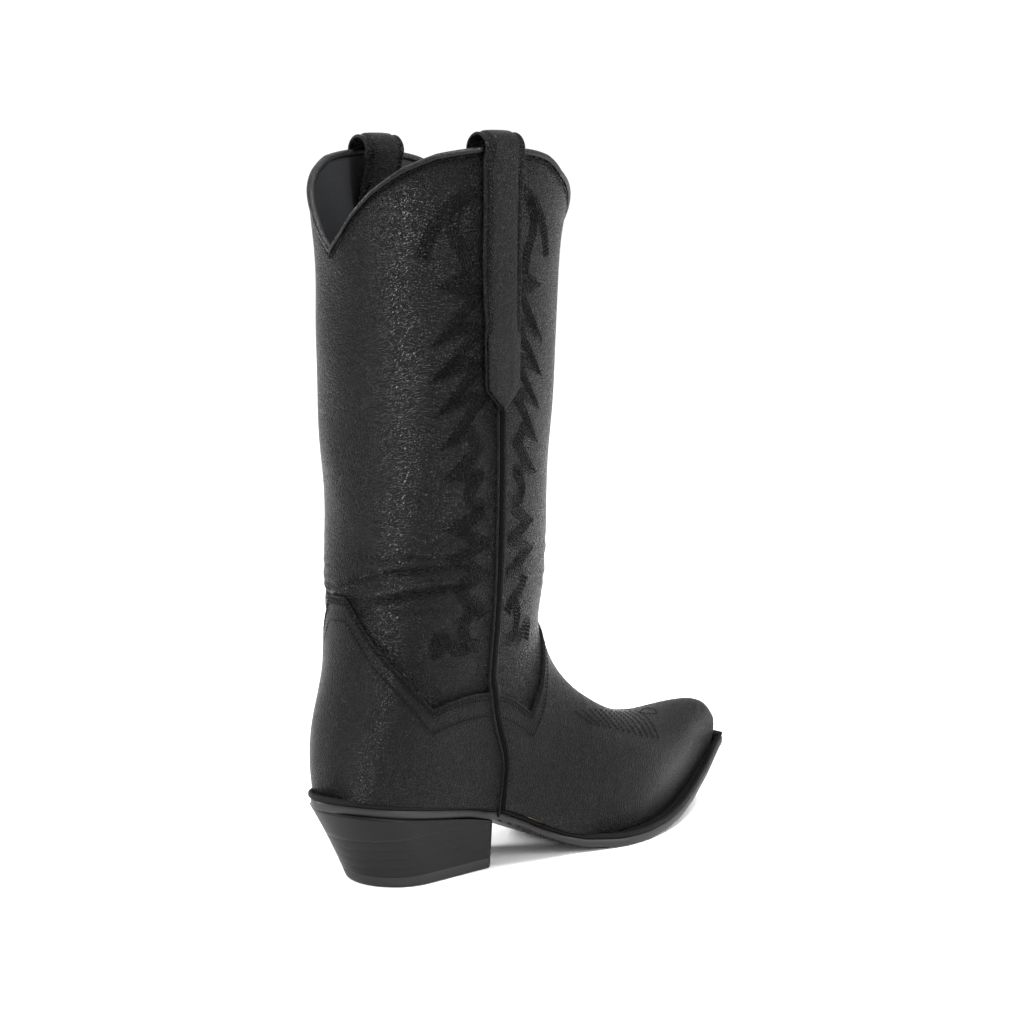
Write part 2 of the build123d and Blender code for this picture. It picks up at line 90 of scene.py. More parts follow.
SEAM_SHARES = np.array([0.40, 0.46, 0.48, 0.50, 0.516, 0.532, 0.553, 0.586, 0.588, 0.573, 0.466, 0.19])

FEATHER = np.array([
    (-154, 52.2), (-66, 37.6), (-46, 32.8), (-32, 26.8), (-18, 19.6), (-6, 14.4), (8, 10.2), (30, 7.8),
    (52, 7.8), (70, 8.8), (88, 11.7), (106, 16.9), (124, 24.3), (140, 33.0), (154, 42.4),
])
FOOT_EDGE = np.array([
    (-160, 153), (-127.5, 150), (-122, 130), (-110, 110), (-96.5, 93), (-78, 97), (-57, 96),
    (-40, 89.5), (-27, 80.5), (-17.5, 91), (-11, 102), (-6, 113), (-2.5, 124), (60, 140),
])
BACK_V = np.array([
    (0, 321.5), (8.5, 330), (15, 339), (24, 349.5), (35, 360), (44, 367), (54, 371.5), (70, 372),
])
FRONT_V = np.array([
    (0, 313), (12, 325.5), (24, 338), (36, 350), (46, 359.5), (51, 367), (55, 371.5), (70, 372),
])
OUTER_OUTLINE = [
    (5.5, 146), (13.8, 124), (28.8, 91), (40.6, 56), (42.5, 30), (36.5, 4),
    (30, -22), (28.5, -55), (30.5, -105), (20.5, -132.5), (0, -146),
]
INNER_OUTLINE = [
    (0, -146), (-20.5, -132.5), (-30.5, -105), (-27, -55), (-24, -20), (-30.5, 8),
    (-40, 34), (-42.8, 56), (-37.6, 80), (-27, 106), (-17, 126), (-8.5, 146),
]


# -------- the boot's surface

def second_derivatives(values):
    """Bends of the natural cubic spline through rows at whole-number places."""
    count = len(values)
    system = np.diag(np.full(count, 4.0)) + np.diag(np.ones(count - 1), 1) + np.diag(np.ones(count - 1), -1)
    system[0], system[-1] = 0, 0
    system[0, 0], system[-1, -1] = 1, 1
    bend = np.zeros_like(values, dtype=float)
    bend[1:-1] = 6 * (values[2:] - 2 * values[1:-1] + values[:-2])
    return np.linalg.solve(system, bend)


def spline_at(values, bends, place):
    """Rows of the spline at any places."""
    place = np.clip(place, 0, len(values) - 1)
    index = np.minimum(place.astype(int), len(values) - 2)
    t = (place - index)[..., None]
    a, b, bend_a, bend_b = values[index], values[index + 1], bends[index], bends[index + 1]
    return a * (1 - t) + b * t + ((1 - t) ** 3 - (1 - t)) * bend_a / 6 + (t ** 3 - t) * bend_b / 6


SECTION_BENDS = second_derivatives(SECTIONS)
SHARE_BENDS = second_derivatives(SEAM_SHARES[:, None])


def smooth_step(low, high, value):
    """Soft ramp from 0 at low to 1 at high."""
    t = np.clip((value - low) / (high - low), 0, 1)
    return t * t * (3 - 2 * t)


def bell(value, centre, width):
    """Soft hump of height 1."""
    return np.exp(-((value - centre) / width) ** 2)


def plain_skin(place, angle, offset):
    """
    Points of the last and leg, without folds.
    place counts sections, and angle runs from the front or top to the outer side.
    """
    values = spline_at(SECTIONS, SECTION_BENDS, place)
    fy, fz, by, bz, half, shift, front_power, back_power, wide, cap = np.moveaxis(values, -1, 0)
    length = np.hypot(fy - by, fz - bz)
    ay, az = (fy - by) / length, (fz - bz) / length
    c, s = np.cos(angle), np.sin(angle)
    power = np.where(c > 0, front_power, back_power)
    forward = np.abs(c) ** (2 / power)
    sideways = np.sign(s) * np.abs(s) ** (2 / power)
    reach = np.where(c > 0, wide + (1 - wide) * forward, wide * (1 - forward))
    y = by - ay * offset + az * offset * cap + ay * reach * (length + 2 * offset)
    z = bz - az * offset - ay * offset * cap + az * reach * (length + 2 * offset)
    points = np.stack([shift + (half + offset) * sideways, y, z], -1)
    past = np.clip(place - LAST, 0, 1)[..., None] * PI / 2
    capped = TOE_CENTRE + (points - TOE_CENTRE) * np.cos(past)
    capped = capped + TOE_FORWARD * ((TOE_ROUNDING + offset)[..., None] * np.sin(past))
    capped[..., 1] -= TOE_SNIP * smooth_step(TOE_SNIP_START, TOE_TIP_Y, capped[..., 1])
    return capped


ANKLE_CREASE_DEPTHS = (0.25, 0.4, 0.8, 0.6, 0.4, 0.2)
LOWEST_ANKLE_CREASE, ANKLE_CREASE_STEP = 132, 8.5
FLEX_CREASES = 6
FLEX_DEPTH = 0.05
BACKMOST_FLEX_CREASE, FLEX_CREASE_STEP = -16, 9.5


def relief(points):
    """Folds and soft unevenness of the worn-in leather, as a height over the plain surface."""
    x, y, z = points[..., 0], points[..., 1], points[..., 2]
    shaft = smooth_step(95, 150, z)
    height = shaft * 0.55 * np.sin(z / 19 + 1.3 * np.sin(y / 33)) * np.sin(x / 24 + y / 31 + 0.7)
    height += shaft * 0.35 * np.sin(z / 9.5 + 2 * np.sin(x / 17) + y / 26) * np.sin(y / 14 + 1.1)
    height += 0.22 * np.sin(x / 11 + z / 13) * np.sin(y / 15 + 0.4) * (1 - shaft)
    behind = smooth_step(-62, -98, y) * bell(z, 156, 24)
    before = smooth_step(-40, -12, y) * bell(z, 158, 26)
    for number, deep in enumerate(ANKLE_CREASE_DEPTHS):
        level = LOWEST_ANKLE_CREASE + ANKLE_CREASE_STEP * number
        level = level + 2.6 * np.sin(x / 13 + number * 1.7) + 0.1 * x
        height += behind * deep * (0.75 * bell(z, level + 3.8, 2.8) - bell(z, level, 1.7))
        height += before * 0.7 * deep * (0.7 * bell(z, level + 3.4, 3.0) - bell(z, level, 2.0))
    flex = smooth_step(-30, -10, y) * smooth_step(62, 34, y) * smooth_step(16, 30, z) * smooth_step(92, 74, z)
    for number in range(FLEX_CREASES):
        line = y - 0.35 * (z - 50) - 1.5 * np.sin(z / 9 + number)
        crease = BACKMOST_FLEX_CREASE + FLEX_CREASE_STEP * number
        height += flex * FLEX_DEPTH * (bell(line, crease + 3, 2.6) - bell(line, crease, 1.6))
    return height


def skin(place, angle, offset):
    """Points of the boot's surface grown by offset, folds included."""
    place, angle, offset = np.broadcast_arrays(
        np.asarray(place, float), np.asarray(angle, float), np.asarray(offset, float)
    )
    return plain_skin(place, angle, offset + relief(plain_skin(place, angle, np.zeros_like(place))))


def skin_normal(place, angle, offset):
    """Outward direction of the surface."""
    step = 0.004
    down = skin(place + step, angle, offset) - skin(place - step, angle, offset)
    round_it = skin(place, angle + step, offset) - skin(place, angle - step, offset)
    normal = np.cross(round_it, down)
    return normal / np.maximum(np.linalg.norm(normal, axis=-1, keepdims=True), 1e-9)


def seam_share(place):
    """Part of the way from back to front at which the side seam lies."""
    return spline_at(SEAM_SHARES[:, None], SHARE_BENDS, np.asarray(place, float))[..., 0]


def angle_at(place, share):
    """Angle at which a section's outline is a share of the way from its back to its front."""
    values = spline_at(SECTIONS, SECTION_BENDS, np.asarray(place, float))
    front_power, back_power, wide = values[..., 6], values[..., 7], values[..., 8]
    front = np.clip((share - wide) / (1 - wide), 0, 1) ** (front_power / 2)
    back = np.clip(1 - share / wide, 0, 1) ** (back_power / 2)
    return np.arccos(np.where(share > wide, front, -back))


def seam_angle(place, shift=0.0):
    """Angle of the side seam, moved forward by shift."""
    values = spline_at(SECTIONS, SECTION_BENDS, np.asarray(place, float))
    length = np.hypot(values[..., 0] - values[..., 2], values[..., 1] - values[..., 3])
    return angle_at(place, seam_share(place) + shift / length)


def smooth_profile(points, breaks):
    """Dense smooth curve through side-view points, with corners at the break numbers."""
    rows = []
    ends = [0, *breaks, len(points) - 1]
    for first, last in zip(ends, ends[1:]):
        part = np.array(points[first:last + 1], float)
        where = np.linspace(0, len(part) - 1, 40)
        if len(part) > 2:
            part = spline_at(part, second_derivatives(part), where)
        rows.extend(part)
    rows = np.array(rows)
    return rows[np.argsort(rows[:, 0], kind="stable")]


FOOT_EDGE_CORNERS = (1, 4, 8, 12)
EDGE_CURVE = smooth_profile(FOOT_EDGE, FOOT_EDGE_CORNERS)


def over_foot_edge(points, drop=0.0):
    return points[..., 2] + drop - np.interp(points[..., 1], EDGE_CURVE[:, 0], EDGE_CURVE[:, 1])


def over_feather(points):
    return points[..., 2] - np.interp(points[..., 1], FEATHER[:, 0], FEATHER[:, 1])


def over_topline(points, profile, drop):
    return points[..., 2] + drop - np.interp(np.abs(points[..., 0]), profile[:, 0], profile[:, 1])


HALVINGS = 34


def solve(above, low, high):
    """Where a falling function of place or angle crosses zero, by halving."""
    for _ in range(HALVINGS):
        middle = (low + high) / 2
        positive = above(middle) > 0
        low, high = np.where(positive, middle, low), np.where(positive, high, middle)
    return (low + high) / 2


PLACE_TABLE = np.linspace(0, LAST + 1, 801)
at_table = np.minimum(PLACE_TABLE, LAST)
FEATHER_TABLE = solve(
    lambda angle: over_feather(plain_skin(at_table, angle, np.zeros_like(angle))),
    np.full_like(PLACE_TABLE, 0.6), np.full_like(PLACE_TABLE, PI),
)


def seam_table(end, shift=0.0):
    """Angle of the side seam for each place, and the bottom centre line beyond its end."""
    return np.where(PLACE_TABLE < end, seam_angle(np.minimum(PLACE_TABLE, end), shift), PI)


SEAM_TABLE = seam_table(SEAM_END)


def front_limit(shift):
    """Side edge of a front foot sheet: the seam, then the feather line."""
    return np.minimum(seam_table(SEAM_END, shift), FEATHER_TABLE)


def at(table, place):
    """Value of an angle table at a place."""
    return np.interp(place, PLACE_TABLE, table)


# -------- meshes

def add_mesh(name, points, faces, slot, material, node=None):
    """Object on the part's one body, from points in millimetres."""
    mesh = bpy.data.meshes.new(name)
    mesh.from_pydata((np.asarray(points, float) * MM).tolist(), [], faces)
    mesh.validate()
    mesh.update()
    for polygon in mesh.polygons:
        polygon.use_smooth = True
    thing = bpy.data.objects.new(name, mesh)
    bpy.context.scene.collection.objects.link(thing)
    mesh.materials.append(material)
    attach(thing, "root")
    if node is not None:
        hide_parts(node)


def stand_in(node, mesh, slot, material):
    """Piece shown in place of a CAD node."""
    add_mesh("look_" + node, *mesh, slot, material, node)


def sheet(outer, inner):
    """Closed sheet between two grids of points with the same shape."""
    rows, columns = outer.shape[:2]
    count = rows * columns
    index = np.arange(count).reshape(rows, columns)
    a, b, c, d = index[:-1, :-1], index[:-1, 1:], index[1:, 1:], index[1:, :-1]
    front = np.stack([a, d, c, b], -1).reshape(-1, 4)
    back = np.stack([a, b, c, d], -1).reshape(-1, 4) + count
    ring = np.concatenate([index[0, :-1], index[:-1, -1], index[-1, :0:-1], index[:0:-1, 0]])
    after = np.roll(ring, -1)
    rim = np.stack([ring, after, after + count, ring + count], -1)
    points = np.concatenate([outer.reshape(-1, 3), inner.reshape(-1, 3)])
    return points, np.concatenate([front, back, rim]).tolist()


def loft(rings, close=True):
    """Closed skin through rings of points, with flat ends."""
    rings = np.asarray(rings, float)
    count, size = rings.shape[:2]
    index = np.arange(count * size).reshape(count, size)
    nxt = np.roll(index, -1, axis=1)
    faces = np.stack([index[:-1], nxt[:-1], nxt[1:], index[1:]], -1).reshape(-1, 4).tolist()
    if close:
        faces.append(index[0, ::-1].tolist())
        faces.append(index[-1].tolist())
    return rings.reshape(-1, 3), faces


EDGE_SHARE = 0.003


def bordered(count):
    """Shares from 0 to 1 with one extra line close to both ends."""
    return np.concatenate([[0], np.linspace(EDGE_SHARE, 1 - EDGE_SHARE, count), [1]])


def grown_grid(angle_of, top_of, bottom_of, size, outer, inner, edge_drop, groove=None):
    """Outer and inner grids of one sheet of leather, with rounded outer edges."""
    across = bordered(size[1]) * 2 - 1
    down = bordered(size[0])[:, None]
    top, bottom = top_of(across), bottom_of(across)
    place = top + (bottom - top) * down
    angle = angle_of(across[None, :] + 0 * place, place)
    lift = np.full_like(place, float(outer))
    lift[0], lift[-1], lift[:, 0], lift[:, -1] = (outer - edge_drop,) * 4
    if groove is not None:
        lift = lift - groove(skin(place, angle, outer))
    return skin(place, angle, lift), skin(place, angle, float(inner))


def cut_lines(above, low, high, angle_of):
    """For each column, the place where the column crosses a line."""
    def crossing(across):
        return solve(
            lambda place: above(plain_skin(place, angle_of(across, place), np.zeros_like(place))),
            np.full_like(across, low), np.full_like(across, high),
        )
    return crossing


# -------- stitching

THREAD_SIDES = 6
# Along one stitch: reach as a part of its length, rise as a part of lift, thickness as a part of radius.
STITCH_REACH = np.array([-0.5, -0.36, 0, 0.36, 0.5])
STITCH_RISE = np.array([-1.3, 0.1, 1.0, 0.1, -1.3])
STITCH_THICKNESS = np.array([0.45, 0.9, 1.0, 0.9, 0.45])


def rows_at(where, along, rows):
    """Points between the rows of a table, at distances along it."""
    return np.stack([np.interp(where, along, rows[:, k]) for k in range(3)], -1)


def walk(points, pitch):
    """Evenly spaced places along a row of points."""
    steps = np.linalg.norm(np.diff(points, axis=0), axis=1)
    along = np.concatenate([[0], np.cumsum(steps)])
    count = max(int(along[-1] / pitch), 1)
    marks = (np.arange(count) + 0.5) * along[-1] / count
    return marks, along


def stitches(paths, pitch=2.0, length=1.6, radius=0.16, lift=0.03):
    """Thread stitches along rows given as (points, normals)."""
    centres, tangents, normals = [], [], []
    for points, outward in paths:
        marks, along = walk(points, pitch)
        if along[-1] < pitch:
            continue
        half = pitch * 0.4
        tangent = rows_at(marks + half, along, points) - rows_at(marks - half, along, points)
        normal = rows_at(marks, along, outward)
        tangents.append(tangent / np.maximum(np.linalg.norm(tangent, axis=1, keepdims=True), 1e-9))
        normals.append(normal / np.linalg.norm(normal, axis=1, keepdims=True))
        centres.append(rows_at(marks, along, points))
    centre, tangent, normal = (np.concatenate(rows)[:, None, None] for rows in (centres, tangents, normals))
    side = np.cross(normal, tangent)
    turn = (np.arange(THREAD_SIDES) * 2 * PI / THREAD_SIDES)[None, None, :, None]
    reach = (STITCH_REACH * length)[None, :, None, None]
    rise = (STITCH_RISE * lift)[None, :, None, None]
    thick = (STITCH_THICKNESS * radius)[None, :, None, None]
    points = centre + tangent * reach + normal * (rise + thick * np.cos(turn)) + side * (thick * np.sin(turn))
    count = len(points)
    index = np.arange(5 * THREAD_SIDES).reshape(5, THREAD_SIDES)
    nxt = np.roll(index, -1, axis=1)
    one = np.stack([index[:-1], nxt[:-1], nxt[1:], index[1:]], -1).reshape(-1, 4)
    faces = (one[None] + (np.arange(count) * 5 * THREAD_SIDES)[:, None, None]).reshape(-1, 4).tolist()
    for first in range(count):
        base = first * 5 * THREAD_SIDES
        faces.append([base + k for k in range(THREAD_SIDES - 1, -1, -1)])
        faces.append([base + 4 * THREAD_SIDES + k for k in range(THREAD_SIDES)])
    return points.reshape(-1, 3), faces


def on_skin(place, angle, offset):
    """Row of surface points with their normals."""
    place = np.asarray(place, float)
    return skin(place, angle, offset), skin_normal(place, angle, offset)


def near_rows(rows, depth, width):
    """Groove depth near stitch rows, as a function of points."""
    cloud = np.concatenate([points for points, _ in rows])
    tree = KDTree(len(cloud))
    for number, point in enumerate(cloud):
        tree.insert(point, number)
    tree.balance()

    def groove(points):
        flat = points.reshape(-1, 3)
        far = np.array([tree.find(point)[2] for point in flat]).reshape(points.shape[:-1])
        return depth * (np.exp(-(far / width) ** 2) - 0.45 * np.exp(-((far - 2.2 * width) / width) ** 2))
    return groove


# Distance round the shaft from the side seam, on the outer side, for placing the fancy stitching.
ARC_ROWS, ARC_COLUMNS = 161, 361
ARC_LAST_PLACE = 8
ARC_PLACES = np.linspace(0, ARC_LAST_PLACE, ARC_ROWS)
ARC_ANGLES = np.linspace(0, PI, ARC_COLUMNS)
arc_points = plain_skin(
    ARC_PLACES[:, None] + 0 * ARC_ANGLES, ARC_ANGLES + 0 * ARC_PLACES[:, None],
    np.zeros((ARC_ROWS, ARC_COLUMNS)),
)
arc_steps = np.linalg.norm(np.diff(arc_points, axis=1), axis=2)
ARC = np.concatenate([np.zeros((ARC_ROWS, 1)), np.cumsum(arc_steps, axis=1)], axis=1)


def locate(arc, height):
    """Place and angle of the point at a height, arc behind the seam (ahead of it if negative)."""
    places, angles = [], []
    for distance, level in zip(arc, height):
        angle = PI / 2 + distance / 60
        place = 3.0
        for _ in range(5):
            column = int(np.clip(angle / PI * (ARC_COLUMNS - 1), 0, ARC_COLUMNS - 1))
            heights = arc_points[:, column, 2]
            place = float(np.interp(-level, -heights, ARC_PLACES))
            row = min(int(round(place * 20)), ARC_ROWS - 1)
            start = np.interp(float(seam_angle(np.array(place))), ARC_ANGLES, ARC[row])
            angle = float(np.interp(start + distance, ARC[row], ARC_ANGLES))
        places.append(place)
        angles.append(angle)
    return np.array(places), np.array(angles)


def smooth_path(points):
    """Curved path through the points."""
    points = np.array(points, float)
    where = np.linspace(0, len(points) - 1, 10 * (len(points) - 1) + 1)
    return spline_at(points, second_derivatives(points), where)


def parallel(path, distance):
    """Row beside a flat path, with pointed corners."""
    step = np.diff(path, axis=0)
    step = step / np.maximum(np.linalg.norm(step, axis=1, keepdims=True), 1e-9)
    aside = np.stack([-step[:, 1], step[:, 0]], -1)
    before, after = np.concatenate([aside[:1], aside]), np.concatenate([aside, aside[-1:]])
    both = before + after
    reach = 2 / np.maximum((both ** 2).sum(1, keepdims=True), 0.35)
    moved = path + distance * both * reach
    rows = [moved[:1]]
    for first, second, direction in zip(moved, moved[1:], step):
        if ((second - first) * direction).sum() > 0:
            count = max(int(np.linalg.norm(second - first) / 0.8), 1)
            rows.append(first + (second - first) * (np.arange(1, count + 1)[:, None] / count))
    return np.concatenate(rows)


# Fancy stitching: leading rows as (distance from the seam, height).
FLAMES = [
    [(18, 309), (27, 304), (13, 300), (32, 279), (20, 284), (13, 281), (35, 260), (21, 266), (13, 264),
     (32, 244), (21, 249), (13, 247), (29, 228), (20, 232), (14, 224), (27, 211), (21, 211)],
    [(10, 192), (26, 183.5), (10, 175.5), (26, 168.5), (10, 159), (25, 155)],
]
SCROLLS = [
    [(21, 211), (14, 210), (17, 206), (19, 201), (17, 196), (10, 195)],
    [(25, 155), (23, 150), (19, 146), (14, 143), (10, 137)],
    [(15, 143), (20, 138), (22, 131), (19, 124), (11, 122)],
    [(22, 346), (27, 338), (27, 329), (22, 320), (18, 309)],
    [(15, 350), (27, 344), (38, 331), (43, 317)],
    [(19, 122), (27, 122), (34, 128), (38, 126), (37, 119)],
]
ROW_STEP = 1.45
BAND_ROWS = 5
FRONT_NARROW = 0.85         # the front panel's pattern is this much narrower
NEAREST_ROW, FARTHEST_ROW = 6.5, 58
CLEAR_OF_FOOT = 5


def fancy_rows(back):
    """All rows of decorative stitches on one shaft panel."""
    rows = []
    leading = [np.array(points, float) for points in FLAMES] + [smooth_path(points) for points in SCROLLS]
    for path in leading:
        for number in range(BAND_ROWS):
            beside = parallel(path, (number - (BAND_ROWS - 1) / 2) * ROW_STEP)
            beside = beside[(beside[:, 0] > NEAREST_ROW) & (beside[:, 0] < FARTHEST_ROW)]
            if len(beside) < 4:
                continue
            arc = beside[:, 0] * (1.0 if back else -FRONT_NARROW)
            place, angle = locate(arc, beside[:, 1])
            clear = over_foot_edge(skin(place, angle, 0.0)) > CLEAR_OF_FOOT
            place, angle = place[clear], angle[clear]
            if len(place) < 4:
                continue
            for side in (1, -1):
                rows.append(on_skin(place, angle * side, 0.0))
    return rows


# -------- materials

PORE_HEIGHT = 0.12
GLOSS_SPREAD = 0.07


def new_material(name, specular):
    """New node material, with its tree, shader and coordinates."""
    material = bpy.data.materials.new(name)
    material.use_nodes = True
    tree = material.node_tree
    shader = tree.nodes["Principled BSDF"]
    shader.inputs["Specular IOR Level"].default_value = specular
    return material, tree, shader, tree.nodes.new("ShaderNodeTexCoord")


def new_node(tree, kind, settings=None, **inputs):
    """New node with its settings made first and then its sockets' values."""
    node = tree.nodes.new("ShaderNode" + kind)
    for name, value in (settings or {}).items():
        setattr(node, name, value)
    for name, value in inputs.items():
        node.inputs[name.replace("_", " ")].default_value = value
    return node


def wire(tree, *links):
    """Join sockets, each link as (node, output, node, input)."""
    for source, output, target, socket in links:
        tree.links.new(source.outputs[output], target.inputs[socket])


def leather(name, color, roughness, grain_mm, grain_height, specular, pebble_highlight=0.25):
    """Grained leather: pebbles, pores, uneven gloss, painted shade darkening the furrows between pebbles and
    a painted highlight lightening their tops.
    """
    material, tree, shader, place = new_material(name, specular)
    cells = new_node(
        tree, "TexVoronoi", {"feature": "DISTANCE_TO_EDGE"}, Scale=1000 / grain_mm, Randomness=1.0,
    )
    warp = new_node(tree, "TexNoise", Scale=350.0, Detail=2.0)
    bend = new_node(tree, "Mix", {"data_type": "VECTOR"}, Factor=0.0012)
    pores = new_node(tree, "TexNoise", Scale=2600.0, Detail=4.0, Roughness=0.65)
    clouds = new_node(tree, "TexNoise", Scale=42.0, Detail=5.0, Roughness=0.6)
    tone = new_node(tree, "MapRange", To_Min=0.72, To_Max=1.28)
    gloss = new_node(tree, "MapRange", To_Min=roughness - GLOSS_SPREAD, To_Max=roughness + GLOSS_SPREAD)
    paint = new_node(
        tree, "Mix", {"data_type": "RGBA", "blend_type": "MULTIPLY"}, Factor=1.0, A=(*color, 1),
    )
    # Painted shade and highlight: the base colour is darkened to 0.8 in the furrows between pebbles and
    # lightened on the pebble tops.
    furrow_shade_and_highlight = new_node(tree, "MapRange", From_Max=0.35, To_Min=0.8, To_Max=1.0 + pebble_highlight)
    both = new_node(tree, "Math", {"operation": "MULTIPLY"})
    grain = new_node(tree, "Bump", Strength=1.0, Distance=grain_height * MM)
    fine = new_node(tree, "Bump", Strength=1.0, Distance=PORE_HEIGHT * MM)
    hump = new_node(tree, "MapRange", {"interpolation_type": "SMOOTHSTEP"}, From_Max=0.3)
    wire(
        tree,
        (place, "Object", warp, "Vector"), (place, "Object", bend, "A"), (warp, "Color", bend, "B"),
        (bend, "Result", cells, "Vector"), (place, "Object", pores, "Vector"),
        (place, "Object", clouds, "Vector"), (clouds, "Fac", tone, "Value"),
        (clouds, "Fac", gloss, "Value"), (cells, "Distance", furrow_shade_and_highlight, "Value"),
        (tone, "Result", both, 0), (furrow_shade_and_highlight, "Result", both, 1), (both, "Value", paint, "B"),
        (paint, "Result", shader, "Base Color"), (gloss, "Result", shader, "Roughness"),
        (cells, "Distance", hump, "Value"), (hump, "Result", grain, "Height"),
        (pores, "Fac", fine, "Height"), (grain, "Normal", fine, "Normal"),
        (fine, "Normal", shader, "Normal"),
    )
    return material


def grained(name, color, dark, roughness, scale, stretch, height, metallic=0.0, specular=0.25):
    """Layered or fibrous stuff: wood, stacked leather edge, cork, cloth, brushed steel."""
    material, tree, shader, place = new_material(name, specular)
    shader.inputs["Metallic"].default_value = metallic
    shape = new_node(tree, "Mapping", Scale=stretch)
    noise = new_node(tree, "TexNoise", Scale=scale, Detail=6.0, Roughness=0.62)
    ramp = new_node(tree, "Mix", {"data_type": "RGBA"}, A=(*dark, 1), B=(*color, 1))
    gloss = new_node(tree, "MapRange", To_Min=roughness - 0.08, To_Max=roughness + 0.08)
    bump = new_node(tree, "Bump", Strength=1.0, Distance=height * MM)
    wire(
        tree,
        (place, "Object", shape, "Vector"), (shape, "Vector", noise, "Vector"),
        (noise, "Fac", ramp, "Factor"), (ramp, "Result", shader, "Base Color"),
        (noise, "Fac", gloss, "Value"), (gloss, "Result", shader, "Roughness"),
        (noise, "Fac", bump, "Height"), (bump, "Normal", shader, "Normal"),
    )
    return material


# The pebble tops of each leather are lightened as a painted highlight, by 0.25 unless the call gives another
# amount.
SHAFT_LEATHER = leather("shaft_leather", (0.0014, 0.00145, 0.0018), 0.27, 1.4, 2.4, 0.13)
FOOT_LEATHER = leather("foot_leather", (0.0024, 0.0023, 0.0026), 0.32, 1.2, 1.7, 0.12, pebble_highlight=0.15)
TRIM_LEATHER = leather("trim_leather", (0.002, 0.002, 0.0025), 0.33, 1.1, 0.6, 0.13, pebble_highlight=0.12)
LINING_LEATHER = leather("lining_leather", (0.011, 0.0115, 0.0135), 0.6, 1.2, 0.05, 0.2, pebble_highlight=0.1)
WELT_LEATHER = leather("welt_leather", (0.002, 0.002, 0.0022), 0.6, 0.8, 0.16, 0.12)
BINDING_LEATHER = leather("binding_leather", (0.0024, 0.0024, 0.003), 0.25, 0.9, 0.08, 0.18, pebble_highlight=0.1)
CHANNEL = leather("seam_channel", (0.0012, 0.0012, 0.0013), 0.8, 0.8, 0.05, 0.04)
SOLE_EDGE = grained("sole_edge", (0.02, 0.02, 0.0205), (0.011, 0.011, 0.0115), 0.46, 160.0, (1, 1, 3), 0.06)
HEEL_STACK = grained(
    "heel_stack", (0.0045, 0.0045, 0.0048), (0.0032, 0.0032, 0.0035), 0.42, 220.0, (1, 1, 1.6), 0.05,
    specular=0.13,
)
CAP_RUBBER = grained("cap_rubber", (0.01, 0.01, 0.0105), (0.006, 0.006, 0.0065), 0.55, 900.0, (1, 1, 1), 0.04)
THREAD = grained(
    "thread", (0.002, 0.002, 0.0024), (0.0012, 0.0012, 0.0015), 0.5, 2500.0, (1, 1, 1), 0.05, specular=0.06,
)
STIFF_BOARD = grained("stiffener_board", (0.45, 0.34, 0.22), (0.33, 0.24, 0.15), 0.8, 500.0, (1, 1, 1), 0.1)
CLOTH = grained("interlining_cloth", (0.7, 0.67, 0.6), (0.5, 0.47, 0.42), 0.9, 900.0, (3, 1, 3), 0.12)
INSOLE = grained("insole_leather", (0.5, 0.38, 0.25), (0.4, 0.29, 0.18), 0.75, 300.0, (1, 1, 1), 0.08)
CORK = grained("cork", (0.5, 0.35, 0.2), (0.2, 0.12, 0.06), 0.9, 420.0, (1, 1, 1), 0.2)
PEG_WOOD = grained("peg_wood", (0.016, 0.012, 0.009), (0.01, 0.008, 0.006), 0.6, 500.0, (1, 1, 0.1), 0.05)
STEEL = grained("steel", (0.6, 0.6, 0.62), (0.48, 0.48, 0.5), 0.32, 600.0, (1, 0.05, 1), 0.01, metallic=1.0)

CAD_FINISHES = {
    "heel_nails": STEEL, "steel_shank": STEEL, "wooden_pegs": PEG_WOOD, "cork_filler": CORK,
    "insole_board": INSOLE,
}
for node_name, finish in CAD_FINISHES.items():
    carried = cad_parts[node_name]
    carried.data.materials.clear()
    carried.data.materials.append(finish)


def add_threads(name, mesh, slot):
    """Stitches, which stand for no CAD node."""
    add_mesh("look_" + name, *mesh, slot, THREAD)


# -------- shaft

def back_angle(across, place):
    return PI + across * (PI - at(SEAM_TABLE, place))


def front_angle(across, place):
    return across * at(SEAM_TABLE, place)


BEAD_DROP = 2.4         # the raw top edges end this far under the top of the binding
TUCK = 2.0              # the shaft reaches this far under the vamp and counter
# Binding: a round bead over the raw top edges with a flat tail outside, as (offset, height).
BEAD_PROFILE = [
    (0.35, -2.3), (0.9, -1.9), (1.05, -1.2), (0.9, -0.4), (0.3, 0.3), (-0.7, 0.6), (-1.8, 0.45),
    (-2.6, -0.1), (-3.05, -1.0), (-3.1, -2.0), (-2.8, -2.9), (-2.45, -3.0), (-2.3, -2.2), (-0.1, -2.2),
    (0.02, -2.5),
]
TOPLINE_STITCH_DROP = 4.6
GROOVE_DEPTH, GROOVE_WIDTH = 0.07, 0.6
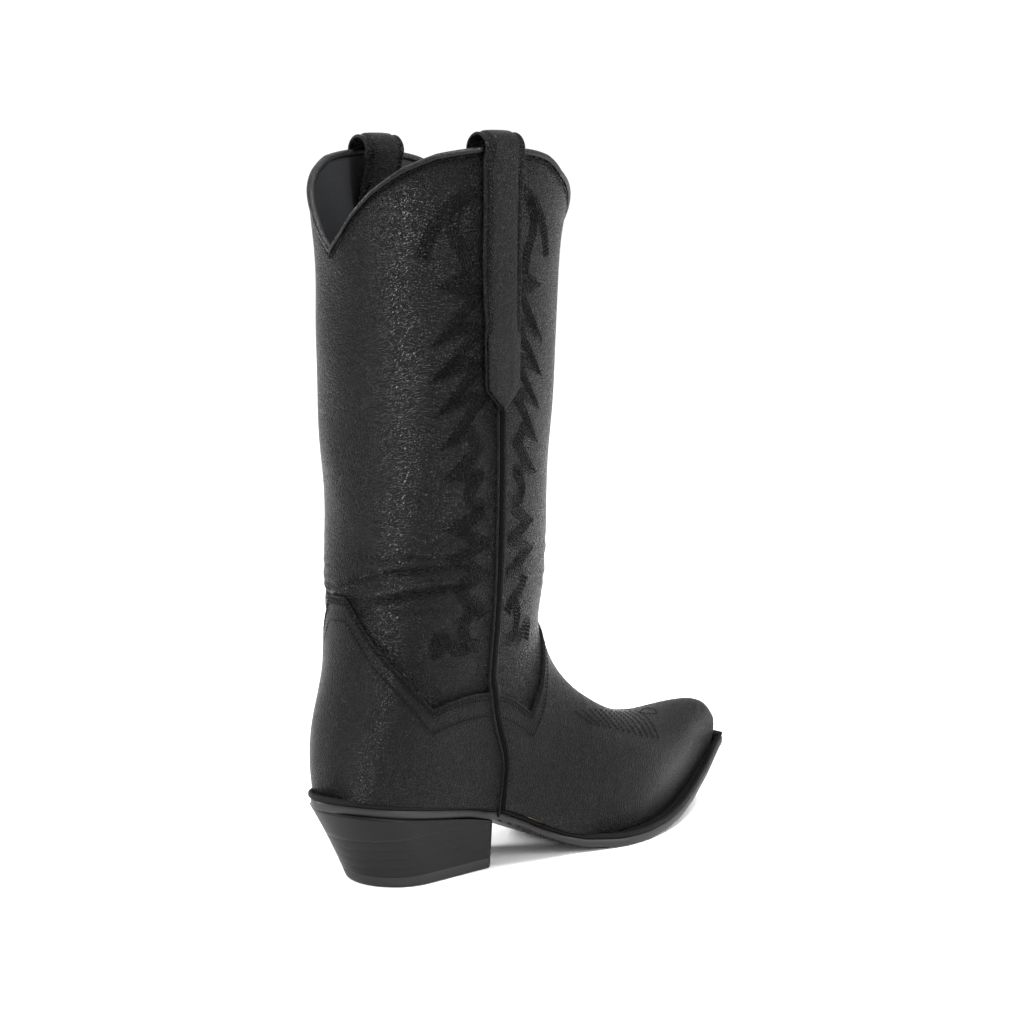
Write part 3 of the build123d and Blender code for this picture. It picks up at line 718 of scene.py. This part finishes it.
# Angle rule, topline, and the lowest place at which the foot edge is looked for.
SHAFT_HALVES = {
    "back": (back_angle, BACK_V, 10.8),
    "front": (front_angle, FRONT_V, 10.4),
}
for half_name, (angle_of, v_line, lowest) in SHAFT_HALVES.items():
    top_of = cut_lines(lambda p, v=v_line: over_topline(p, v, BEAD_DROP), 0.0, 4.0, angle_of)
    bottom_of = cut_lines(lambda p: over_foot_edge(p, TUCK), 3.0, lowest, angle_of)
    fancy = fancy_rows(half_name == "back")
    dents = near_rows(fancy, GROOVE_DEPTH, GROOVE_WIDTH)
    outer, inner = grown_grid(angle_of, top_of, bottom_of, (230, 190), 0.0, INSIDE_LEATHER, 0.2, groove=dents)
    stand_in("shaft_" + half_name + "_panel", sheet(outer, inner), "shaft_leather", SHAFT_LEATHER)
    outer, inner = grown_grid(
        angle_of, top_of, bottom_of, (110, 80), INSIDE_LEATHER - 0.02, INSIDE_LINING, 0.2,
    )
    stand_in("shaft_" + half_name + "_lining", sheet(outer, inner), "lining_leather", LINING_LEATHER)
    add_threads("fancy_stitches_" + half_name, stitches(fancy), "shaft_leather")

    across = np.linspace(-1, 1, 241)
    bead = []
    for offset, lift in BEAD_PROFILE:
        crossing = cut_lines(lambda p, v=v_line, h=lift: over_topline(p, v, -h), 0.0, 4.0, angle_of)
        place = crossing(across)
        bead.append(skin(place, angle_of(across, place), float(offset)))
    stand_in(half_name + "_topline_binding", loft(np.stack(bead, 1)), "trim_leather", BINDING_LEATHER)
    crossing = cut_lines(lambda p, v=v_line: over_topline(p, v, TOPLINE_STITCH_DROP), 0.0, 4.0, angle_of)
    short_of_seam = across * 0.97
    place = crossing(short_of_seam)
    row = on_skin(place, angle_of(short_of_seam, place), 0.0)
    add_threads(half_name + "_topline_stitches", stitches([row], 2.3, 1.8, 0.26), "trim_leather")


# -------- foot

def foot_front(limit):
    """Angle rule of a sheet round the front, between the limits on both sides."""
    return lambda across, place: across * at(limit, place)


def foot_back(limit):
    """Angle rule of a sheet round the back."""
    return lambda across, place: PI + across * (PI - at(limit, place))


def y_limit(y):
    """Angle where the surface crosses a plane across the boot, for each place."""
    return solve(
        lambda angle: plain_skin(at_table, angle, np.zeros_like(angle))[..., 1] - y,
        np.zeros_like(PLACE_TABLE), np.full_like(PLACE_TABLE, PI),
    )


def place_of_y(y, angle_of):
    """End line of a sheet in a plane across the boot."""
    return cut_lines(lambda p: y - p[..., 1], 11.0, float(LAST), angle_of)


def whole(value):
    """End line at one section place."""
    return lambda across: np.full_like(across, value)


COUNTER_FRONT_Y, TOE_BOX_BACK_Y = -60.0, 88.0
vamp_angle = foot_front(front_limit(SEAM_GAP))
plain_front = foot_front(front_limit(0.0))
middle_limit = np.minimum(y_limit(COUNTER_FRONT_Y), FEATHER_TABLE)
middle_angle = foot_front(middle_limit)
cover_angle = foot_back(seam_table(COVER_SEAM_END, -SEAM_GAP))
counter_angle = foot_back(y_limit(COUNTER_FRONT_Y))
lining_angle = foot_back(seam_table(COVER_SEAM_END))


def edge_of(angle_of, low=4.0, high=10.4, tuck=0.0):
    """End line along the foot's top edge."""
    return cut_lines(lambda p: over_foot_edge(p, tuck), low, high, angle_of)


def feather_of(angle_of):
    """End line along the feather line."""
    return cut_lines(over_feather, 7.0, 11.6, angle_of)


COVER_EDGE_DROP, HIDDEN_EDGE_DROP = 0.45, 0.15
HIDDEN_TUCK = TUCK + 0.1
UNDER_COVER = -0.05         # hair's breadth between layers
# Name, slot, material, angle rule, top line, bottom line, grid, outer face, inner face.
FOOT_SHEETS = [
    ("vamp", "foot_leather", FOOT_LEATHER, vamp_angle, edge_of(vamp_angle),
     whole(20.0), (250, 190), COVER, 0.0),
    ("heel_counter_cover", "foot_leather", FOOT_LEATHER, cover_angle, edge_of(cover_angle),
     feather_of(cover_angle), (130, 200), COVER, 0.0),
    ("counter_stiffener", "stiffener_board", STIFF_BOARD, counter_angle,
     edge_of(counter_angle, 4.0, 9.4, HIDDEN_TUCK),
     feather_of(counter_angle), (60, 80), UNDER_COVER, INSIDE_LEATHER),
    ("vamp_interlining", "interlining_cloth", CLOTH, middle_angle, edge_of(middle_angle, tuck=HIDDEN_TUCK),
     place_of_y(TOE_BOX_BACK_Y, middle_angle), (80, 80), UNDER_COVER, INSIDE_LEATHER),
    ("toe_box", "stiffener_board", STIFF_BOARD, plain_front, place_of_y(TOE_BOX_BACK_Y + 0.3, plain_front),
     whole(19.9), (50, 70), UNDER_COVER, INSIDE_LEATHER),
    ("vamp_lining", "lining_leather", LINING_LEATHER, plain_front, edge_of(plain_front),
     whole(19.85), (110, 80), INSIDE_LEATHER + UNDER_COVER, INSIDE_LINING),
    ("heel_lining", "lining_leather", LINING_LEATHER, lining_angle, edge_of(lining_angle),
     feather_of(lining_angle), (60, 80), INSIDE_LEATHER + UNDER_COVER, INSIDE_LINING),
]
for node, slot, material, angle_of, top_of, bottom_of, size, outer_face, inner_face in FOOT_SHEETS:
    drop = COVER_EDGE_DROP if outer_face > 0 else HIDDEN_EDGE_DROP
    outer, inner = grown_grid(angle_of, top_of, bottom_of, size, outer_face, inner_face, drop)
    stand_in(node, sheet(outer, inner), slot, material)

# Stitch rows under the foot's top edge, as (drop, lowest place), and beside the side seam.
EDGE_STITCH_ROWS = [(2.0, 10.5), (3.8, 10.5), (12.5, 10.6)]
SEAM_STITCH_SHIFT = 3.6
along = np.linspace(-0.985, 0.985, 400)
edge_rows = []
for angle_of in (vamp_angle, cover_angle):
    for drop, lowest in EDGE_STITCH_ROWS:
        place = cut_lines(lambda p, d=drop: over_foot_edge(p, d), 4.0, lowest, angle_of)(along)
        edge_rows.append(on_skin(place, angle_of(along, place), COVER))
for side in (1, -1):
    for shift in (-SEAM_STITCH_SHIFT, SEAM_STITCH_SHIFT):
        place = np.linspace(3.5, 7.7, 220)
        edge_rows.append(on_skin(place, side * seam_angle(place, shift), 0.0))
        place = np.linspace(8.0, 10.4, 110)
        edge_rows.append(on_skin(place, side * seam_angle(place, shift), COVER))
add_threads("edge_stitches", stitches(edge_rows, 2.3, 1.8, 0.27), "foot_leather")

# Toe stitching: rows that climb from the sides to the ridge of the vamp, and a loop at their end.
TOE_LINES = 12
TOE_LOOP_PLACE, TOE_LOOP_ANGLE = 14.75, 0.14
toe_rows = []
for number in range(TOE_LINES):
    share = number / (TOE_LINES - 1)
    top_place = 10.8 + 3.6 * share
    top_angle = math.radians(39 * (1 - share) ** 1.35 + 2)
    foot_place = 11.75 + 2.65 * share
    foot_angle = math.radians(44 - 5 * math.sin(PI * share))
    down = np.linspace(0, 1, 60)
    for side in (1, -1):
        place = top_place + (foot_place - top_place) * down ** 0.85
        angle = top_angle + (foot_angle - top_angle) * down
        toe_rows.append(on_skin(place, side * angle, COVER))
turn = np.linspace(0, 2 * PI, 90)
loop_place = TOE_LOOP_PLACE - 0.36 * np.cos(turn)
loop_angle = TOE_LOOP_ANGLE + 0.13 * np.sin(turn) * (1.25 - np.cos(turn)) / 1.6
toe_rows.append(on_skin(loop_place, loop_angle, COVER))
add_threads("toe_stitches", stitches(toe_rows, 1.9, 1.5, 0.24), "foot_leather")


# -------- side piping and pull straps

def across_seam(place, side, distances, offsets):
    """Ring of points over the seam at one place."""
    place = np.full(len(distances), float(place))
    return skin(place, side * seam_angle(place, np.array(distances)), np.array(offsets, float))


# Sections of the piping and of the dark channel in it, as (distance from the seam, offset).
PIPING_PROFILE = [
    (-3.4, 0.0), (-3.1, 0.6), (-2.5, 0.95), (-1.9, 0.8), (-1.55, 0.3), (-1.45, 0.1), (1.45, 0.1), (1.55, 0.3),
    (1.9, 0.8), (2.5, 0.95), (3.1, 0.6), (3.4, 0.0), (3.3, -0.4), (-3.3, -0.4),
]
CHANNEL_PROFILE = [(-1.5, 0.05), (-1.1, 0.35), (-0.5, 0.55), (0.5, 0.55), (1.1, 0.35), (1.5, 0.05)]


def strap_profile(half, panel):
    """Strap section: rolled edges, flat stitched borders, and a raised panel between them."""
    border = min(panel + 0.6, half - 1.9)
    right = [
        (0.0, 2.45), (panel * 0.5, 2.4), (panel - 0.9, 2.2), (panel - 0.2, 1.8), (border, 1.0),
        (half - 1.8, 0.9), (half - 1.3, 1.3), (half - 0.6, 1.4), (half - 0.1, 1.0), (half, 0.3),
    ]
    left = [(-w, h) for w, h in reversed(right[1:])]
    return np.array(left + right)


STRAP_PLACES = np.array([0.72, 1.0, 1.5, 2.0, 2.36, 2.44, 2.95, 3.17])
STRAP_HALVES = np.array([12.5, 12.4, 12.2, 11.6, 10.9, 11.6, 11.2, 1.5])
PANEL_NARROW, PANEL_WIDE = 8.0, 10.4
PANEL_STEP_START, PANEL_STEP_END = 2.36, 2.44
STRAP_WIDE, STRAP_LEAST = 12.5, 3.2
STRAP_BASE = 0.75
STRAP_TIP_PLACE, STRAP_TOP_PLACE = 3.17, 0.72
LOOP_X, LOOP_Z, LOOP_IN = 46.9, 370.0, 6.8
STRAP_BACK_Y, STRAP_FRONT_Y = -77.0, -52.0
STRAP_Y = (STRAP_BACK_Y + STRAP_FRONT_Y) / 2
INNER_END_X, INNER_END_Z = 48.0, 341
STRAP_STITCH_DISTANCE = 9.7
PIPING_PLACES = np.linspace(3.13, 10.85, 280)
PIPING_PARTS = [("side_piping", PIPING_PROFILE, TRIM_LEATHER), ("seam_channel", CHANNEL_PROFILE, CHANNEL)]


def arch_ring(side, x, z, out_x, out_z):
    """Ring of strap points over the topline, with its face towards (out_x, out_z)."""
    profile = strap_profile(STRAP_WIDE, PANEL_NARROW)
    direction = np.array([side * out_x, 0.0, out_z])
    centre = np.array([side * x, STRAP_Y, z])
    sweep = np.array([0.0, 1.0, 0.0])
    face = centre + sweep * profile[:, :1] + direction * profile[:, 1:]
    rear = centre + sweep * profile[::-1, :1] - direction * 0.1
    return np.concatenate([face, rear])


for side_name, side in (("outer", 1), ("inner", -1)):
    for part, shape, finish in PIPING_PARTS:
        rings = []
        for place in PIPING_PLACES:
            over_cover = smooth_step(7.35, 7.7, place) * 1.1
            heights = [h + over_cover * (h >= 0) for _, h in shape]
            rings.append(across_seam(place, side, [d for d, _ in shape], heights))
        node = side_name + "_side_piping" if part == "side_piping" else None
        add_mesh("look_" + side_name + "_" + part, *loft(rings), "trim_leather", finish, node)

    rings = []
    for place in np.linspace(STRAP_TIP_PLACE, STRAP_TOP_PLACE, 170):
        half = np.interp(place, STRAP_PLACES, STRAP_HALVES)
        drawn = max(half, STRAP_LEAST)
        widening = smooth_step(PANEL_STEP_START, PANEL_STEP_END, place)
        panel = PANEL_NARROW + (PANEL_WIDE - PANEL_NARROW) * widening
        shape = strap_profile(drawn, min(panel, drawn - 1.2)) * (half / drawn, 1)
        back = across_seam(place, side, shape[::-1, 0], np.full(len(shape), STRAP_BASE - 0.45))
        rings.append(np.concatenate([across_seam(place, side, shape[:, 0], STRAP_BASE + shape[:, 1]), back]))
    middle = LOOP_IN + 0.1
    for turn in np.linspace(0.1, PI, 34):
        c, s = math.cos(turn), math.sin(turn)
        rings.append(arch_ring(side, LOOP_X + middle * c, LOOP_Z + middle * s, c, s))
    inner_x = LOOP_X - LOOP_IN
    for share in np.linspace(0.06, 1, 14):
        x = inner_x + (INNER_END_X - inner_x) * share
        z = LOOP_Z - (LOOP_Z - INNER_END_Z) * share
        rings.append(arch_ring(side, x - 0.1, z, -(1 - 0.15 * share), -0.26 * share))
    stand_in(side_name + "_pull_strap", loft(rings), "trim_leather", TRIM_LEATHER)
    rows = []
    for distance in (-STRAP_STITCH_DISTANCE, STRAP_STITCH_DISTANCE):
        place = np.linspace(0.75, 2.34, 200)
        half = np.interp(place, STRAP_PLACES, STRAP_HALVES)
        angle = side * seam_angle(place, distance * half / STRAP_WIDE)
        rows.append(on_skin(place, angle, STRAP_BASE + 0.95))
    add_threads(side_name + "_strap_stitches", stitches(rows, 2.2, 1.7, 0.27), "trim_leather")


# -------- sole and heel

SIDE_COUNT = 220          # outline points on each side, from the toe to the back of the heel
loop = np.array(OUTER_OUTLINE + INNER_OUTLINE[1:], float)
fine = spline_at(loop, second_derivatives(loop), np.linspace(0, len(loop) - 1, 4000))
fine_steps = np.concatenate([[0], np.cumsum(np.linalg.norm(np.diff(fine, axis=0), axis=1))])
heel_at = fine_steps[np.argmin(fine[:, 1])]
marks = np.concatenate([
    np.linspace(0, heel_at, SIDE_COUNT), np.linspace(heel_at, fine_steps[-1], SIDE_COUNT)[1:],
])
OUTLINE = np.stack([np.interp(marks, fine_steps, fine[:, k]) for k in range(2)], -1)


def inset(distance):
    """Outline moved inwards."""
    closed = np.concatenate([OUTLINE[-1:], OUTLINE, OUTLINE[:1]])
    step = closed[2:] - closed[:-2]
    step = step / np.linalg.norm(step, axis=1, keepdims=True)
    inward = np.stack([step[:, 1], -step[:, 0]], -1)
    if (OUTLINE[60] + inward[60])[0] > OUTLINE[60][0]:
        inward = -inward
    return OUTLINE + inward * np.reshape(distance, (-1, 1))


def feather_at(y):
    """Height of the feather line, with its corners rounded."""
    return np.interp(y, FEATHER_CURVE[:, 0], FEATHER_CURVE[:, 1])


HEEL_INSET_START, HEEL_INSET_END = -50, -64
feather_dense = np.linspace(-154, 154, 600)
raw = np.interp(feather_dense, FEATHER[:, 0], FEATHER[:, 1])
soft = np.convolve(np.pad(raw, 10, mode="edge"), np.hanning(21) / np.hanning(21).sum(), mode="valid")
FEATHER_CURVE = np.stack([feather_dense, soft], -1)


def sole_ring(distance, height, heel_inset=0.0):
    """Outline inset by distance, at a height over the feather line, and drawn in further round the heel."""
    drawn_in = heel_inset * smooth_step(HEEL_INSET_START, HEEL_INSET_END, OUTLINE[:, 1])
    flat = inset(distance + drawn_in)
    tip = TIP_LIFT * smooth_step(TIP_LIFT_START, TOE_TIP_Y, flat[:, 1])
    return np.column_stack([flat, feather_at(flat[:, 1]) + height + tip])


def capped(rings):
    """Skin through outline rings, closed across the first and the last with rows from side to side."""
    points, faces = loft(rings, close=False)
    points = list(points)
    size = len(rings[0])
    for which, flip in ((0, False), (len(rings) - 1, True)):
        ring = np.asarray(rings[which])
        base = which * size
        heel = SIDE_COUNT - 1
        rows = []
        for number in range(SIDE_COUNT):
            left, right = heel - number, heel + number
            row = [base + left]
            for share in np.linspace(0, 1, 8)[1:-1]:
                if number == 0:
                    row.append(base + heel)
                    continue
                spot = ring[left] * (1 - share) + ring[right] * share
                height = ring[left][2] * (1 - share) + ring[right][2] * share
                points.append(np.array([spot[0], spot[1], height]))
                row.append(len(points) - 1)
            row.append(base + right)
            rows.append(row)
        for first, second in zip(rows, rows[1:]):
            for a, b, c, d in zip(first, first[1:], second[1:], second):
                face = [a, b, c, d] if flip else [d, c, b, a]
                face = list(dict.fromkeys(face))
                if len(face) > 2:
                    faces.append(face)
    return np.array(points), faces


waist = bell(OUTLINE[:, 1], -22, 34)
# Edges of the outsole and welt, as (inset, height over the feather line).
OUTSOLE_PROFILE = [
    (8.0, -7.8), (1.4, -7.8), (0.7, -7.68), (0.2, -7.25), (0.0, -6.6), (-0.1, -5.2), (0.0, -3.5),
    (0.35, -3.0), (1.0, -2.86), (8.0, -2.86),
]
OUTSOLE_HEEL_INSET, WELT_HEEL_INSET = 2.6, 1.3
WAIST_BEVELS = {1: 4.0, 2: 3.0, 3: 2.0, 4: 1.2}
BEVEL_RISE = 0.45
outsole_rings = [sole_ring(distance, height, OUTSOLE_HEEL_INSET) for distance, height in OUTSOLE_PROFILE]
for ring_number, bevel in WAIST_BEVELS.items():
    outsole_rings[ring_number][:, 2] += waist * bevel * BEVEL_RISE
stand_in("outsole", capped(outsole_rings), "sole_leather", SOLE_EDGE)

WELT_PROFILE = [
    (9.0, -2.8), (1.0, -2.8), (0.3, -2.65), (0.0, -2.2), (-0.05, -1.3), (0.1, -0.55), (0.6, -0.1),
    (1.3, 0.0), (2.2, -0.12), (3.0, -0.35), (3.8, -0.1), (9.0, 0.0),
]
WELT_BACK_Y, RAND_FRONT_Y, WELT_STITCH_BACK_Y = -47.2, -46.8, -44
RAND_SWELL = 0.25
ring_y = OUTLINE[:, 1]
heel_first = np.roll(np.arange(len(ring_y)), -np.argmin(ring_y))
rings = np.stack([sole_ring(distance, height, WELT_HEEL_INSET) for distance, height in WELT_PROFILE], 1)
welt_rings = rings[heel_first][(ring_y > WELT_BACK_Y)[heel_first]]
stand_in("welt", loft(welt_rings), "welt_leather", WELT_LEATHER)
rand_rings = rings[ring_y < RAND_FRONT_Y]
rand_rings[:, 4:9, 2] += RAND_SWELL
stand_in("heel_rand", loft(rand_rings), "welt_leather", WELT_LEATHER)

welt_row = sole_ring(3.0, -0.3)[heel_first][(ring_y > WELT_STITCH_BACK_Y)[heel_first]]
up = np.tile([0.0, 0.0, 1.0], (len(welt_row), 1))
add_threads("welt_stitches", stitches([(welt_row, up)], 3.2, 2.5, 0.42, 0.2), "welt_leather")


# The heel at the ground, and how much it gains over its full height.
HEEL_RISE = 50
BREAST_HALF, BREAST_GAIN = 25.0, 4.0
ROUND_HALF, ROUND_GAIN = 26.2, 4.2
HEEL_BASE_BACK, BACK_GAIN, BACK_SWEEP = -118.0, 27.8, 0.2


def heel_outline(height, inward=0.0):
    """Outline of the underslung heel at a height, as points from the breast round the back."""
    rise = height / HEEL_RISE
    breast, half = BREAST_HALF + BREAST_GAIN * rise - inward, ROUND_HALF + ROUND_GAIN * rise - inward
    back = HEEL_BASE_BACK - BACK_GAIN * ((1 - BACK_SWEEP) * rise + BACK_SWEEP * rise ** 2)
    middle = back + ROUND_HALF + ROUND_GAIN * rise
    turn = np.linspace(0, PI, 61)
    arc = np.column_stack([half * np.cos(turn), middle - half * np.sin(turn)])
    face = HEEL_BREAST_Y - inward
    right = np.column_stack([np.linspace(breast, half, 16)[:-1], np.linspace(face, middle, 16)[:-1]])
    left = np.column_stack([np.linspace(-half, -breast, 16)[1:], np.linspace(middle, face, 16)[1:]])
    front = np.column_stack([np.linspace(-breast, breast, 14)[1:-1], np.full(12, face)])
    corner = 0.8
    right[0] += (0, -corner)
    left[-1] += (0, -corner)
    return np.concatenate([right, arc, left, front])


def heel_ring(height, inward=0.0):
    """Level ring of the heel."""
    flat = heel_outline(height, inward)
    return np.column_stack([flat, np.full(len(flat), float(height))])


CAP_RINGS = [(0, 1.2), (0.25, 0.5), (0.9, 0.1), (2.2, 0.0), (5.5, 0.0), (5.8, 0.16), (6, 0.3)]
cap_rings = [heel_ring(height, inward) for height, inward in CAP_RINGS]
stand_in("heel_cap", loft(cap_rings), "cap_rubber", CAP_RUBBER)
for number, (low, high) in enumerate(zip(HEEL_LEVELS[1:], HEEL_LEVELS[2:]), 1):
    rings = [heel_ring(low, 0.02), heel_ring(low + 0.2), heel_ring(high - 0.2), heel_ring(high, 0.02)]
    stand_in("heel_lift_" + str(number), loft(rings), "heel_stack", HEEL_STACK)

lift_top = HEEL_LEVELS[-1]
wedge = []
for share in np.linspace(0, 1, 9):
    ring = heel_ring(lift_top, 0.1 if share == 0 else 0.0)
    for _ in range(3):
        height = lift_top + (feather_at(ring[:, 1]) - SOLE_DEPTH - lift_top) * share
        flat = np.array([heel_outline(h)[k] for k, h in enumerate(height)])
        ring = np.column_stack([flat, height])
    wedge.append(ring)
stand_in("heel_seat_wedge", loft(wedge), "heel_stack", HEEL_STACK)

# Sock lining: a thin soft sheet over the insole, rounded at its edge.
SOCK_BACK_Y, SOCK_FRONT_Y = -122, 128
SOCK_INSET, SOCK_BASE, SOCK_THICKNESS = 11.0, 2.42, 0.8
sock = []
for y in np.linspace(SOCK_BACK_Y, SOCK_FRONT_Y, 90):
    ring = OUTLINE[np.argsort(np.abs(OUTLINE[:, 1] - y))]
    right = ring[ring[:, 0] > 0][0][0] - SOCK_INSET
    left = ring[ring[:, 0] < 0][0][0] + SOCK_INSET
    base = feather_at(y) + SOCK_BASE
    across = np.linspace(left, right, 12)
    top = np.column_stack([across, np.full(12, y), np.full(12, base + SOCK_THICKNESS)])
    top[[0, -1], 2] -= SOCK_THICKNESS / 2
    under = np.column_stack([across[::-1], np.full(12, y), np.full(12, base)])
    sock.append(np.concatenate([top, under]))
stand_in("sock_lining", loft(sock), "lining_leather", LINING_LEATHER)


# -------- floor, light and camera

FLOOR_HALF = 9
FLOOR_GREY = 0.95
SKY_STRENGTH = 1.08
floor_corners = [(x * FLOOR_HALF, y * FLOOR_HALF, 0) for x, y in ((-1, -1), (1, -1), (1, 1), (-1, 1))]
floor_mesh = bpy.data.meshes.new("floor")
floor_mesh.from_pydata(floor_corners, [], [[0, 1, 2, 3]])
floor = bpy.data.objects.new("floor", floor_mesh)
bpy.context.scene.collection.objects.link(floor)
floor_material, _, floor_shader, _ = new_material("floor", 0.1)
floor_shader.inputs["Base Color"].default_value = (FLOOR_GREY, FLOOR_GREY, FLOOR_GREY, 1)
floor_shader.inputs["Roughness"].default_value = 0.9
floor_mesh.materials.append(floor_material)

world = bpy.data.worlds.new("studio")
bpy.context.scene.world = world
world.use_nodes = True
background = world.node_tree.nodes["Background"]
background.inputs["Color"].default_value = (1.0, 1.0, 1.0, 1)
background.inputs["Strength"].default_value = SKY_STRENGTH


def add_light(name, where, target, size, power):
    """Soft box that faces its target, in metres and watts."""
    light = bpy.data.lights.new(name, "AREA")
    light.shape = "RECTANGLE"
    light.size, light.size_y = size
    light.energy = power
    thing = bpy.data.objects.new(name, light)
    thing.location = where
    thing.rotation_mode = "QUATERNION"
    thing.rotation_quaternion = (Vector(target) - Vector(where)).to_track_quat("-Z", "Y")
    bpy.context.scene.collection.objects.link(thing)


add_light("key", (-1.3, -2.0, 1.25), (0, -0.05, 0.22), (0.45, 0.9), 110)
add_light("fill", (2.2, 1.2, 1.1), (0, 0, 0.2), (0.7, 1.3), 44)
add_light("top", (0.6, 0.2, 2.1), (0, 0.02, 0.1), (0.8, 0.8), 58)

CAMERA_PLACE = (0.949, -0.8605, 0.355)
CAMERA_DIRECTION = (-0.7386, 0.6604, -0.1353)
camera_data = bpy.data.cameras.new("camera")
camera_data.lens = 85.5
camera_data.sensor_width = 36
camera_data.clip_start = 0.05
camera = bpy.data.objects.new("camera", camera_data)
bpy.context.scene.collection.objects.link(camera)
camera.location = CAMERA_PLACE
camera.rotation_mode = "QUATERNION"
camera.rotation_quaternion = Vector(CAMERA_DIRECTION).to_track_quat("-Z", "Y")
bpy.context.scene.camera = camera
bpy.context.scene.view_settings.view_transform = "Standard"
